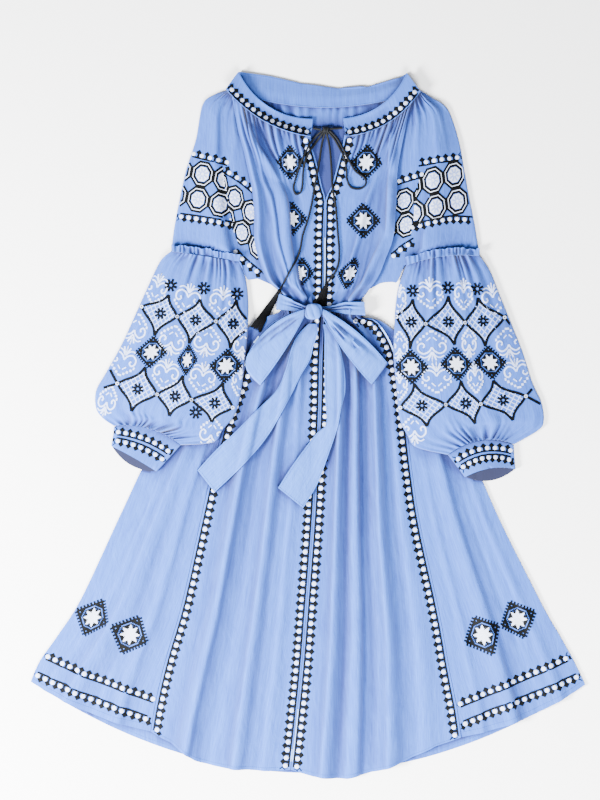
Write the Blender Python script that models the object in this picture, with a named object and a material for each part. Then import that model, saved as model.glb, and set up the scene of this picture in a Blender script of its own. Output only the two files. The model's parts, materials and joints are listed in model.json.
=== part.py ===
"""A-line dress with full raglan sleeves and a tied sash, laid flat: its sewn pieces as solids.

X runs across the dress, Y from hem to neck and Z up from the surface that it lies on. Tables are
in millimetres. A panel is a cloth wall over rows: a row runs from its left end to its right end,
bowed down by its bow, and a fold or gather lifts the cloth between the rows that its line names.
"""
import math

import bmesh
import bpy
import numpy as np
from mathutils import Vector
from mathutils.bvhtree import BVHTree

for old in list(bpy.data.objects):
    bpy.data.objects.remove(old, do_unlink=True)

MM = 0.001
CLOTH = 1.5             # cloth wall, measured straight up
BAND = 2.0              # neckband and cuffs: two cloths and their stiffening
SASH = 1.8              # sash: two cloths
GAP = 0.45              # between a piece and the piece that it lies on
SEAM = 0.25             # each side's half of the space at a seam in the flat
EDGE = 4.2              # height of a sleeve's folded side edges
CORD_R = 1.4            # neck tie
LOCK_R = 0.75           # one lock of tassel thread
BLUE = (0.40, 0.55, 0.80, 1.0)
BLACK = (0.02, 0.02, 0.025, 1.0)

# Front panels, neck to hem, a row each: left end x, y, right end x, y, bow.
FRONT_LEFT = [
    (-127, 547, 5, 480, 13),
    (-122, 520, 7, 463, 13),
    (-117, 492, 12, 445, 12),
    (-108, 458, 18, 422, 8),
    (-100, 422, 23, 398, 7),
    (-93, 388, 29, 375, 3),
    (-90, 350, 28, 342, 0),
    (-90, 312, 27, 303, 0),
    (-82, 275, 27, 265, 0),
    (-68, 240, 26, 228, 0),
    (-44, 218, 26, 207, 0),
    (-41, 192, 25, 185, 0),
    (-41, 182, 24, 170, 0),
    (-66, 166, 23, 148, 2),
    (-97, 128, 21, 105, 3),
    (-113, 75, 20, 50, 3),
    (-133, 22, 18, -5, 3),
    (-158, -67, 13, -85, 5),
    (-178, -155, 8, -168, 8),
    (-210, -298, -4, -322, 15),
    (-235, -383, -11, -408, 18),
    (-252, -453, -20, -495, 22),
    (-262, -510, -29, -574, 27),
]
FRONT_RIGHT = [
    (60, 481, 175, 545, 18),
    (57, 463, 168, 520, 17),
    (52, 445, 162, 492, 13),
    (46, 422, 155, 458, 10),
    (39, 398, 149, 422, 7),
    (29, 375, 148, 388, 3),
    (28, 342, 146, 355, 0),
    (27, 303, 142, 312, 0),
    (27, 265, 130, 278, 0),
    (26, 228, 115, 243, 0),
    (26, 207, 89, 208, 0),
    (25, 185, 88, 191, 0),
    (24, 170, 90, 179, 0),
    (23, 148, 115, 172, 2),
    (21, 105, 142, 128, 3),
    (20, 50, 155, 67, 3),
    (18, -5, 162, 17, 3),
    (13, -85, 173, -75, 5),
    (8, -168, 187, -167, 8),
    (-4, -322, 218, -310, 15),
    (-11, -408, 235, -405, 18),
    (-20, -495, 248, -472, 22),
    (-29, -574, 255, -520, 27),
]
# How the front hems leave their rows: part of the way across, drop.
HEM_LEFT = [(0, 0), (0.15, -5), (0.35, 2), (0.5, 0), (0.72, -4), (1, 0)]
HEM_RIGHT = [(0, 0), (0.12, 6), (0.23, 8), (0.31, 8), (0.45, 2), (0.57, -1), (0.72, -6), (0.85, -8), (1, 0)]
# Side gores, waist to hem. The seam ends are the front panels' own.
GORE_LEFT = [
    (-47, 193, -41, 192, 0),
    (-48, 188, -41, 182, 0),
    (-77, 176, -66, 166, 0),
    (-117, 148, -97, 128, 0),
    (-168, 87, -113, 75, 0),
    (-210, 33, -133, 22, 2),
    (-267, -55, -158, -67, 3),
    (-312, -148, -178, -155, 5),
    (-377, -287, -210, -298, 7),
    (-417, -350, -235, -383, 8),
    (-447, -393, -252, -453, 10),
    (-462, -427, -262, -510, 10),
]
GORE_RIGHT = [
    (88, 191, 91, 192, 0),
    (90, 179, 91, 180, 0),
    (115, 172, 123, 172, 0),
    (142, 128, 163, 137, 0),
    (155, 67, 210, 72, 0),
    (162, 17, 243, 12, 2),
    (173, -75, 287, -85, 3),
    (187, -167, 325, -170, 5),
    (218, -310, 392, -303, 7),
    (235, -405, 422, -355, 8),
    (248, -472, 443, -393, 10),
    (255, -520, 462, -432, 12),
]
# Back, neck to hem. Its armhole ends are the sleeves' own, its side ends the gores'.
BACK = [
    (-107, 553, 165, 558, 26),
    (-102, 522, 162, 525, 18),
    (-97, 492, 157, 492, 13),
    (-85, 433, 147, 433, 7),
    (-73, 375, 138, 375, 3),
    (-63, 317, 130, 317, 0),
    (-52, 262, 117, 262, 0),
    (-42, 225, 103, 227, 0),
    (-42, 208, 89, 207, 0),
    (-44, 193, 89, 191, 0),
    (-47, 186, 91, 179, 0),
    (-77, 176, 123, 172, 10),
    (-117, 148, 163, 137, 23),
    (-168, 87, 210, 72, 33),
    (-210, 33, 243, 12, 37),
    (-267, -55, 287, -85, 47),
    (-312, -148, 325, -170, 60),
    (-377, -287, 392, -303, 83),
    (-417, -350, 422, -355, 110),
    (-447, -393, 443, -393, 133),
    (-462, -427, 462, -432, 150),
]
# Raglan upper sleeves, neckband to gathered seam.
UPPER_LEFT = [
    (-136, 557, -107, 553, 0),
    (-157, 549, -102, 522, 0),
    (-175, 533, -97, 492, 0),
    (-186, 475, -85, 433, 0),
    (-202, 425, -73, 375, 0),
    (-213, 375, -63, 317, 0),
    (-222, 328, -52, 262, 0),
    (-227, 289, -42, 225, 0),
]
UPPER_RIGHT = [
    (165, 558, 188, 556, 0),
    (162, 525, 205, 545, 0),
    (157, 492, 232, 525, 0),
    (147, 433, 250, 475, 0),
    (138, 375, 259, 428, 0),
    (130, 317, 267, 383, 0),
    (117, 262, 277, 333, 0),
    (103, 227, 285, 282, 0),
]
# Shape of the upper sleeves' lower ends: part of the way across, drop below the straight row.
UPPER_LEFT_END = [(0, 0), (0.17, -7), (0.33, -14), (0.48, -16), (0.58, -21), (0.69, 4), (0.77, -4), (1, 0)]
UPPER_RIGHT_END = [(0, 0), (0.11, -4), (0.19, -1), (0.24, 4), (0.34, -20), (0.50, -24), (0.66, -19), (0.86, -9), (1, 0)]
# The same for their lower layers.
UPPER_LEFT_UNDER = [(0, 0), (0.17, -8), (0.33, -16), (0.5, -22), (0.67, -20), (0.83, -4), (1, 0)]
# Full lower sleeves, gathered seam to cuff.
LOWER_LEFT = [
    (-228, 286, -113, 268, 0),
    (-245, 273, -104, 242, 0),
    (-265, 232, -100, 205, 0),
    (-287, 183, -101, 158, 0),
    (-310, 133, -106, 105, 5),
    (-335, 88, -113, 52, 5),
    (-352, 57, -123, 17, 3),
    (-352, 28, -143, -8, -8),
    (-340, 11, -158, -28, -15),
    (-321, 2, -211, -29, -12),
]
LOWER_RIGHT = [
    (164, 263, 285, 279, -7),
    (153, 236, 302, 257, -3),
    (147, 203, 318, 217, 0),
    (144, 158, 338, 168, 0),
    (143, 112, 357, 120, 3),
    (148, 62, 373, 70, 5),
    (153, 12, 388, 37, 5),
    (165, -15, 392, 8, -8),
    (180, -36, 383, -8, -18),
    (232, -45, 342, -28, -15),
]
# Gathered headings that stand above the sleeve seams.
HEADING_LEFT = [(-228, 299, -112, 282, -2), (-227, 288, -113, 271, -2)]
HEADING_RIGHT = [(161, 278, 286, 292, -7), (163, 265, 285, 281, -7)]
# Cuffs, wrist seam to mouth: ends, bow of the front layer, bow of the back layer.
CUFF_LEFT = [
    (-322, -2, -212, -33, -12, -12),
    (-324, -18, -231, -54, -7, 5),
    (-327, -35, -252, -77, -2, 12),
]
CUFF_RIGHT = [
    (233, -49, 342, -33, -15, -15),
    (247, -67, 343, -52, -13, 2),
    (261, -86, 345, -73, -8, 13),
]
# Neckband: neck edge first, seam last.
BAND_BACK = [(-115, 588, 164, 585, 0), (-125, 572, 175, 570, 25), (-133, 557, 185, 555, 28)]
BAND_BACK_EDGE = [(0, 0), (0.19, 7), (0.37, 18), (0.6, 26), (0.79, 22), (0.96, 7), (1, 0)]
BAND_LEFT = [(-116, 587, 8, 509, 22), (-127, 572, 7, 495, 18), (-137, 557, 5, 479, 15)]
BAND_RIGHT = [(58, 510, 164, 585, 19), (60, 495, 175, 570, 18), (62, 479, 187, 554, 17)]
# Sash round the waist, upper edge to lower edge, then how its front dips to the knot.
WAIST = [(-48, 218, 94, 204, 0), (-50, 208, 94, 197, 0), (-52, 200, 95, 189, 0), (-53, 192, 95, 182, 0)]
WAIST_DIPS = [
    [(0, 0), (0.31, 15), (0.5, 14), (0.62, 11), (0.78, 3), (1, 0)],
    [(0, 0), (0.31, 10), (0.5, 9), (0.62, 7), (0.78, 1), (1, 0)],
    [(0, 0), (0.31, 5), (0.5, 4), (0.62, 2), (0.78, 0), (1, 0)],
    [(0, 0), (0.31, 1), (0.5, -1), (0.62, -3), (0.78, 0), (1, 0)],
]
# Bow loops: rows across the strip, upper edge to lower edge, from knot end to folded end.
LOOP_LEFT = [
    (-101, 115, -6, 192, -13),
    (-103, 103, -6, 189, -10),
    (-101, 92, -6, 186, -5),
    (-92, 79, -7, 182, 0),
    (-79, 67, -7, 178, 3),
]
LOOP_RIGHT = [
    (25, 192, 131, 104, -7),
    (24, 188, 125, 94, -3),
    (24, 185, 118, 85, 2),
    (24, 182, 112, 77, 3),
    (24, 180, 105, 68, 5),
]
# Sash ends, knot to free end.
TAIL_LEFT = [
    (1, 168, 15, 168, 0),
    (-17, 150, 16, 153, 0),
    (-28, 127, 9, 130, 0),
    (-38, 90, 3, 108, 0),
    (-53, 57, -12, 82, 0),
    (-84, 26, -34, 38, 0),
    (-123, -13, -68, -20, 0),
    (-153, -41, -108, -67, 0),
    (-184, -75, -155, -112, 0),
]
TAIL_RIGHT = [
    (24, 167, 36, 167, 0),
    (27, 153, 42, 153, 0),
    (27, 125, 54, 125, 0),
    (27, 88, 61, 92, 0),
    (28, 47, 62, 55, 0),
    (30, 2, 55, 27, 0),
    (13, -15, 49, -5, 0),
    (-5, -38, 35, -47, 0),
    (-27, -68, 16, -98, 0),
    (-50, -104, -8, -138, 0),
]

# Folds: first row, part across, last row, part across, widths, heights, lean (over 0: steep left).
FOLDS_FRONT_LEFT = [
    (0, 0.08, 10, 0.10, 0.09, 0.10, 2.0, 4.0, 0.0),
    (1, 0.14, 4, 0.42, 0.10, 0.22, 2.0, 5.0, -0.55),
    (4, 0.42, 10, 0.50, 0.22, 0.20, 5.0, 5.0, -0.60),
    (10, 0.10, 12, 0.10, 0.10, 0.10, 4.0, 4.0, 0.0),
    (10, 0.30, 22, 0.31, 0.11, 0.11, 4.0, 7.0, -0.3),
    (10, 0.50, 12, 0.50, 0.12, 0.12, 5.0, 4.0, 0.0),
    (12, 0.52, 22, 0.62, 0.11, 0.10, 4.0, 5.0, 0.3),
    (8, 0.72, 12, 0.70, 0.10, 0.10, 1.0, 4.0, 0.0),
    (12, 0.70, 22, 0.84, 0.08, 0.09, 4.0, 4.0, -0.2),
    (8, 0.90, 13, 0.90, 0.09, 0.09, 1.0, 3.0, 0.0),
    (12, 0.10, 22, 0.09, 0.10, 0.07, 4.0, 2.0, 0.0),
]
FOLDS_FRONT_RIGHT = [
    (1, 0.55, 4, 0.88, 0.12, 0.14, 3.0, 5.0, 0.55),
    (4, 0.88, 7, 0.90, 0.14, 0.12, 5.0, 5.0, 0.6),
    (7, 0.86, 10, 0.70, 0.20, 0.16, 5.0, 5.0, 0.5),
    (9, 0.92, 12, 0.92, 0.10, 0.08, 2.0, 4.0, 0.0),
    (10, 0.70, 13, 0.70, 0.12, 0.10, 5.0, 4.0, 0.0),
    (8, 0.42, 12, 0.48, 0.10, 0.10, 1.0, 4.0, 0.0),
    (8, 0.22, 12, 0.26, 0.08, 0.10, 1.0, 4.0, 0.0),
    (12, 0.26, 22, 0.16, 0.09, 0.08, 4.0, 5.0, 0.3),
    (12, 0.48, 22, 0.32, 0.08, 0.08, 4.0, 5.0, -0.3),
    (12, 0.70, 22, 0.52, 0.10, 0.11, 4.0, 7.0, 0.3),
    (12, 0.92, 22, 0.80, 0.08, 0.11, 4.0, 4.0, 0.0),
    (9, 0.06, 12, 0.06, 0.06, 0.06, 0.5, 2.5, 0.0),
]
FOLDS_GORE_LEFT = [
    (3, 0.60, 11, 0.30, 0.30, 0.16, 1.0, 6.0, 0.3),
    (4, 0.80, 11, 0.72, 0.14, 0.14, 1.0, 5.0, -0.3),
]
FOLDS_GORE_RIGHT = [
    (3, 0.50, 11, 0.42, 0.25, 0.16, 1.0, 7.0, -0.3),
    (4, 0.85, 11, 0.78, 0.12, 0.12, 1.0, 4.0, 0.2),
]
FOLDS_UPPER_LEFT = [
    (1, 0.30, 4, 0.36, 0.20, 0.24, 1.0, 4.0, -0.5),
    (4, 0.36, 7, 0.58, 0.24, 0.30, 4.0, 4.5, -0.72),
    (0, 0.62, 4, 0.62, 0.14, 0.10, 2.5, 1.0, 0.0),
]
FOLDS_UPPER_RIGHT = [
    (1, 0.66, 4, 0.60, 0.20, 0.24, 1.0, 4.0, 0.5),
    (4, 0.60, 7, 0.42, 0.24, 0.30, 4.0, 4.5, 0.72),
    (0, 0.36, 4, 0.34, 0.14, 0.10, 2.5, 1.0, 0.0),
]
# Gathers: row where full, row where gone, how many, height, unevenness.
GATHERS_FRONT = [(0, 4, 11, 2.6, 0.3)]
GATHERS_BACK = [(0, 2, 10, 2.2, 0.7), (9, 5, 5, 2.2, 0.2), (9, 15, 5, 2.2, 0.2)]
GATHERS_LOWER = [(0, 4, 10, 3.0, 0.5), (9, 6, 10, 3.6, 0.1)]
GATHERS_HEADING = [(0, 9, 10, 2.4, 0.5)]

dress = bpy.data.collections.new("a_line_dress")
bpy.context.scene.collection.children.link(dress)
tops = {}


def smooth(part):
    part = min(max(part, 0.0), 1.0)
    return part * part * (3 - 2 * part)


def row_points(row, s, bow, drop=None, inset=SEAM):
    """Plan points at parts s across one row."""
    lx, ly, rx, ry = row[:4]
    run = math.hypot(rx - lx, ry - ly)
    ux, uy = (rx - lx) / run, (ry - ly) / run
    along = inset + s * (run - 2 * inset)
    down = 4 * bow * s * (1 - s)
    if drop:
        down = down + np.interp(s, [d[0] for d in drop], [d[1] for d in drop])
    return lx + ux * along + uy * down, ly + uy * along - ux * down


def fold_height(folds, s, v):
    """Height of the highest fold over each s at row v."""
    high = np.zeros_like(s)
    for v0, s0, v1, s1, wide0, wide1, high0, high1, lean in folds:
        if not v0 <= v <= v1:
            continue
        part = (v - v0) / (v1 - v0)
        off = s - (s0 + (s1 - s0) * part)
        wide = (wide0 + (wide1 - wide0) * part) * np.where(off < 0, 1 - lean, 1 + lean)
        wave = np.cos(0.5 * math.pi * np.clip(np.abs(off) / wide, 0, 1)) ** 2
        high = np.maximum(high, (high0 + (high1 - high0) * part) * wave)
    return high


def gather_height(gathers, s, v):
    """Height of the gathers over each s at row v."""
    high = np.zeros_like(s)
    for full, gone, count, tall, uneven in gathers:
        part = (v - full) / (gone - full)
        if 0 <= part < 1:
            phase = count * s + 0.16 * np.sin(2 * math.pi * (2.3 * s + uneven))
            high = high + tall * (1 - part) * (0.5 - 0.5 * np.cos(2 * math.pi * phase))
    return high


def rest(x, y, below, reach):
    """Highest point of the pieces below, within reach of each plan point."""
    spots = [(0.0, 0.0)]
    for ring in (0.5, 1.0):
        for k in range(8):
            turn = 2 * math.pi * (k + ring) / 8
            spots.append((reach * ring * math.cos(turn), reach * ring * math.sin(turn)))
    out = np.zeros_like(x)
    down = Vector((0, 0, -1))
    for i in range(len(x)):
        for dx, dy in spots:
            start = Vector((x[i] + dx, y[i] + dy, 400.0))
            for name in below:
                hit = tops[name].ray_cast(start, down)[0]
                if hit is not None:
                    out[i] = max(out[i], hit.z + GAP)
    return out


def settle(high):
    """Bridge single dips and round single peaks without going lower anywhere."""
    wide = np.concatenate(([high[0]], high, [high[-1]]))
    peak = np.maximum(np.maximum(wide[:-2], wide[1:-1]), wide[2:])
    wide = np.concatenate(([peak[0]], peak, [peak[-1]]))
    return np.maximum((wide[:-2] + wide[1:-1] + wide[2:]) / 3, high)


def strip(a, b):
    """Triangles between two rows of vertex numbers, even or one twice as fine as the other."""
    if len(a) < len(b):
        return strip(b, a)
    out = []
    if len(a) == len(b):
        for i in range(len(a) - 1):
            out += [(a[i], a[i + 1], b[i + 1]), (a[i], b[i + 1], b[i])]
        return out
    for i in range(len(b) - 1):
        first, mid, last = a[2 * i:2 * i + 3]
        out += [(first, mid, b[i]), (b[i], mid, b[i + 1]), (mid, last, b[i + 1])]
    return out


def add_solid(name, points, faces, colour, round_angle=60):
    """Closed mesh in millimetres to a named object, with its top kept for what lies on it."""
    tops[name] = BVHTree.FromPolygons(points, faces)
    bm = bmesh.new()
    verts = [bm.verts.new(p * MM) for p in points]
    for face in faces:
        bm.faces.new([verts[i] for i in face])
    bmesh.ops.recalc_face_normals(bm, faces=bm.faces)
    mesh = bpy.data.meshes.new(name)
    bm.to_mesh(mesh)
    bm.free()
    mesh.shade_smooth()
    mesh.set_sharp_from_angle(angle=math.radians(round_angle))
    material = bpy.data.materials.new(name)
    material.use_nodes = True
    material.node_tree.nodes["Principled BSDF"].inputs["Base Color"].default_value = colour
    mesh.materials.append(material)
    body = bpy.data.objects.new(name, mesh)
    dress.objects.link(body)
    return body


def add_wall(name, outer, inner, closed, colour=BLUE):
    """Wall between two sets of rows; each row is a list of arcs, joined end to end if closed."""
    points = []

    def number(rows):
        out = []
        for row in rows:
            arcs = []
            for arc in row:
                arcs.append(list(range(len(points), len(points) + len(arc))))
                points.extend(Vector(p) for p in arc)
            out.append(arcs)
        return out

    out_rows, in_rows = number(outer), number(inner)
    faces = []

    def join(one, two):
        for a, b in zip(one, two):
            faces.extend(strip(a, b))
        for k in range(len(one) - (0 if closed else 1)):
            n = (k + 1) % len(one)
            faces.extend(strip([one[k][-1], one[n][0]], [two[k][-1], two[n][0]]))

    for rows in (out_rows, in_rows):
        for one, two in zip(rows[:-1], rows[1:]):
            join(one, two)
    join(out_rows[0], in_rows[0])
    join(out_rows[-1], in_rows[-1])
    if not closed:
        for end in (0, -1):
            faces.extend(strip([r[end][end] for r in out_rows], [r[end][end] for r in in_rows]))
    return add_solid(name, points, faces, colour)


def panel(name, rows, counts, below, reach, folds=(), gathers=(), wall=CLOTH, base=0.0, crown=0.0,
          drops=None, lift=None, spare=0.0):
    """Cloth wall laid over what is below it, with its folds and gathers."""
    top, low = [], []
    for i, row in enumerate(rows):
        s = np.linspace(0, 1, counts[i] + 1)
        x, y = row_points(row, s, row[4], (drops or {}).get(i))
        z = np.full_like(s, base)
        if below:
            z = np.maximum(settle(rest(x, y, below, reach)) + spare, base)
        if lift:
            z = np.maximum(z, lift(x, y))
        z = z + fold_height(folds, s, i) + gather_height(gathers, s, i) + crown * np.sin(math.pi * s)
        low.append([list(zip(x, y, z))])
        top.append([list(zip(x, y, z + wall))])
    return add_wall(name, top, low, False)


def tube(name, rows, counts, low_count, below, reach, puff, folds=(), gathers=(), wall=CLOTH,
         edge=EDGE, drops=None, low_drops=None, over=(), inset=SEAM, spare=0.0):
    """Flattened cloth tube: an upper and a lower layer joined at its two sides."""
    outer, inner = [], []
    for i, row in enumerate(rows):
        run = math.hypot(row[2] - row[0], row[3] - row[1])
        s_top = np.linspace(0, 1, counts[i] + 1)
        s_low = np.linspace(1, 0, low_count + 1)
        slim = wall / run
        level = 0.0
        if below:
            x, y = row_points(row, s_low, row[4])
            level = settle(rest(x, y, below, reach))[::-1]
            level = level + spare * (level > 1)
        else:
            level = np.zeros(low_count + 1)
        s_level = np.linspace(0, 1, low_count + 1)

        def layer(s, upper, z_in, squeeze):
            bow = row[4] if upper or len(row) < 6 else row[5]
            table = (drops if upper else low_drops or drops) or {}
            part = slim * squeeze + s * (1 - 2 * slim * squeeze)
            x, y = row_points(row, part, bow, table.get(i), inset)
            z = np.interp(part, s_level, level)
            if upper:
                z = z + edge + (puff[i] - edge) * np.sin(math.pi * part) ** 0.7
                z = z + fold_height(folds, part, i) + gather_height(gathers, part, i)
                if over:
                    z = np.maximum(z, settle(rest(x, y, over, reach)) + wall)
            return list(zip(x, y, z + z_in))

        outer.append([layer(s_top, True, 0, 0), layer(s_low, False, 0, 0)])
        inner.append([layer(s_top, True, -wall, 1), layer(s_low, False, wall, 1)])
    return add_wall(name, outer, inner, True)


def over_sash(x, y):
    """The back rises over the sash's back layer."""
    near = np.clip(1 - (np.abs(y - 200) - 20) / 18, 0, 1)
    return (SASH + GAP) * near * near * (3 - 2 * near)


panel("back", BACK, [40] * 2 + [20] * 9 + [10] * 10, (), 0, gathers=GATHERS_BACK, lift=over_sash)
tube("upper_sleeve_left", UPPER_LEFT, [16] * 8, 6, (), 0, [5, 6, 8, 9, 9, 8, 7, 5],
     FOLDS_UPPER_LEFT, drops={7: UPPER_LEFT_END}, low_drops={7: UPPER_LEFT_UNDER})
tube("upper_sleeve_right", UPPER_RIGHT, [16] * 8, 6, (), 0, [5, 6, 8, 9, 9, 8, 7, 5],
     FOLDS_UPPER_RIGHT, drops={7: UPPER_RIGHT_END})
panel("gore_left", GORE_LEFT, [8] * 12, ("back",), 5, FOLDS_GORE_LEFT)
panel("gore_right", GORE_RIGHT, [8] * 12, ("back",), 5, FOLDS_GORE_RIGHT)
panel("front_left", FRONT_LEFT, [44] * 5 + [22] * 18, ("back", "upper_sleeve_left"), 5,
      FOLDS_FRONT_LEFT, GATHERS_FRONT, crown=1.5, drops={22: HEM_LEFT})
panel("front_right", FRONT_RIGHT, [44] * 5 + [22] * 18, ("back", "upper_sleeve_right"), 5,
      FOLDS_FRONT_RIGHT, GATHERS_FRONT, crown=1.5, drops={22: HEM_RIGHT})
SLEEVE_COLUMNS = [40] * 3 + [20] * 5 + [40] * 2
SLEEVE_PUFF = [6.5, 9, 13, 15, 16, 16, 15, 13, 10, 7]
tube("lower_sleeve_left", LOWER_LEFT, SLEEVE_COLUMNS, 6, ("back", "gore_left"), 20, SLEEVE_PUFF,
     gathers=GATHERS_LOWER, spare=0.8)
tube("lower_sleeve_right", LOWER_RIGHT, SLEEVE_COLUMNS, 6, ("back", "gore_right"), 20, SLEEVE_PUFF,
     gathers=GATHERS_LOWER, spare=0.8)
for side, heading, cuff, skirt in (("left", HEADING_LEFT, CUFF_LEFT, "front_left"),
                                   ("right", HEADING_RIGHT, CUFF_RIGHT, "front_right")):
    below = ("upper_sleeve_" + side, "lower_sleeve_" + side)
    panel("heading_" + side, heading, [40] * 2, below, 4, gathers=GATHERS_HEADING, wall=1.2)
    tube("cuff_" + side, cuff, [12] * 3, 6, ("back", "gore_" + side, skirt), 12, [8, 10, 13], wall=BAND,
         edge=6.0, low_drops={})

panel("neckband_back", BAND_BACK, [20] * 3, ("back", "upper_sleeve_left", "upper_sleeve_right"), 18,
      wall=BAND, drops={0: BAND_BACK_EDGE}, spare=0.6)
panel("neckband_left", BAND_LEFT, [16] * 3, ("back", "neckband_back", "upper_sleeve_left", "front_left"),
      12, wall=BAND, base=3.5, spare=0.8)
panel("neckband_right", BAND_RIGHT, [16] * 3,
      ("back", "neckband_back", "upper_sleeve_right", "front_right"), 12, wall=BAND, base=3.5, spare=0.8)
FRONTS = ("front_left", "front_right")
tube("sash_waist", WAIST, [18] * 4, 6, (), 7, [6, 6, 6, 6], wall=SASH, edge=6.0,
     over=FRONTS + ("gore_left", "gore_right", "back"),
     drops=dict(enumerate(WAIST_DIPS)), low_drops={}, inset=0.0)


def path_points(points, step):
    """Smooth plan points along a path, about one step apart."""
    p = [np.array(q, float) for q in points]
    p = [2 * p[0] - p[1]] + p + [2 * p[-1] - p[-2]]
    out = []
    for a, b, c, d in zip(p[:-3], p[1:-2], p[2:-1], p[3:]):
        count = max(1, round(np.linalg.norm(c - b) / step))
        for k in range(count):
            t = k / count
            out.append(0.5 * (2 * b + (c - a) * t + (2 * a - 5 * b + 4 * c - d) * t * t
                              + (3 * b - a - 3 * c + d) * t ** 3))
    out.append(p[-2])
    return np.array(out)


def ellipsoid(name, centre, radii, colour, segments=10, rings=6):
    bm = bmesh.new()
    bmesh.ops.create_uvsphere(bm, u_segments=segments, v_segments=rings, radius=1.0)
    bmesh.ops.triangulate(bm, faces=bm.faces)
    points = [Vector(centre) + Vector([c * r for c, r in zip(v.co, radii)]) for v in bm.verts]
    faces = [tuple(v.index for v in f.verts) for f in bm.faces]
    bm.free()
    return add_solid(name, points, faces, colour)


# Cord of the neck tie: its bars, loops and tails meet at the knot.
KNOT_AT = (29, 491)
KNOT_R = (8.0, 5.2, 4.0)
KNOT_Z = 7.5
TIE = {
    "tie_bar_left": [(9, 494), (20, 491)],
    "tie_bar_right": [(57, 494), (38, 493)],
    "tie_loop_left": [(21, 488), (13, 480), (2, 465), (-9, 443), (-19, 415), (-24, 395),
                      (-20, 384), (-12, 388), (-9, 402), (-8, 422), (-4, 440), (4, 457),
                      (14, 471), (24, 485)],
    "tie_loop_right": [(35, 486), (43, 477), (52, 462), (60, 445), (64, 425), (65, 408),
                       (72, 395), (87, 393), (96, 401), (94, 411), (79, 422),
                       (69, 438), (59, 458), (49, 476), (38, 489)],
    "tie_tail_left": [(28, 484), (23, 467), (18, 433), (12, 402), (6, 367), (0, 342),
                      (-8, 318), (-16, 282), (-31, 254), (-45, 228)],
    "tie_tail_right": [(32, 484), (36, 462), (39, 428), (41, 393), (46, 365),
                       (49, 327), (52, 283), (47, 258), (34, 239)],
}
LAID = ("back", "front_left", "front_right", "neckband_left", "neckband_right", "neckband_back")


def at_knot(point):
    """Plan point moved to just outside the tie's knot."""
    dx, dy = point[0] - KNOT_AT[0], point[1] - KNOT_AT[1]
    far = math.hypot(dx / (KNOT_R[0] + 0.4), dy / (KNOT_R[1] + 0.4))
    return KNOT_AT[0] + dx / far, KNOT_AT[1] + dy / far


def cord(name, points, knots, pole=None):
    """One stretch of the tie, laid over what is below, its ends at the knot or a tassel's pole."""
    points = list(points)
    for end in knots:
        points[end] = at_knot(points[end])
    if pole:
        points[-1] = pole[:2]
    plan = path_points(points, 13.0)
    high = rest(plan[:, 0], plan[:, 1], LAID, 3.0) + CORD_R
    for _ in range(2):
        high = settle(high)
    for end in knots:
        high[end] = KNOT_Z
    if pole:
        high[-1] = pole[2]
    curve = bpy.data.curves.new(name, "CURVE")
    curve.dimensions = "3D"
    curve.bevel_depth = CORD_R * MM
    curve.bevel_resolution = 1
    curve.use_fill_caps = True
    line = curve.splines.new("POLY")
    line.points.add(len(plan) - 1)
    for point, at, z in zip(line.points, plan, high):
        point.co = (at[0] * MM, at[1] * MM, z * MM, 1)
    holder = bpy.data.objects.new(name + "_path", curve)
    bpy.context.scene.collection.objects.link(holder)
    bpy.context.view_layer.update()
    mesh = bpy.data.meshes.new_from_object(holder.evaluated_get(bpy.context.evaluated_depsgraph_get()))
    bpy.data.objects.remove(holder, do_unlink=True)
    bm = bmesh.new()
    bm.from_mesh(mesh)
    bmesh.ops.remove_doubles(bm, verts=bm.verts, dist=0.00002)
    bmesh.ops.triangulate(bm, faces=bm.faces)
    bm.verts.index_update()
    tube_points = [v.co / MM for v in bm.verts]
    tube_faces = [tuple(v.index for v in f.verts) for f in bm.faces]
    bm.free()
    add_solid(name, tube_points, tube_faces, BLACK, 80)


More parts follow.
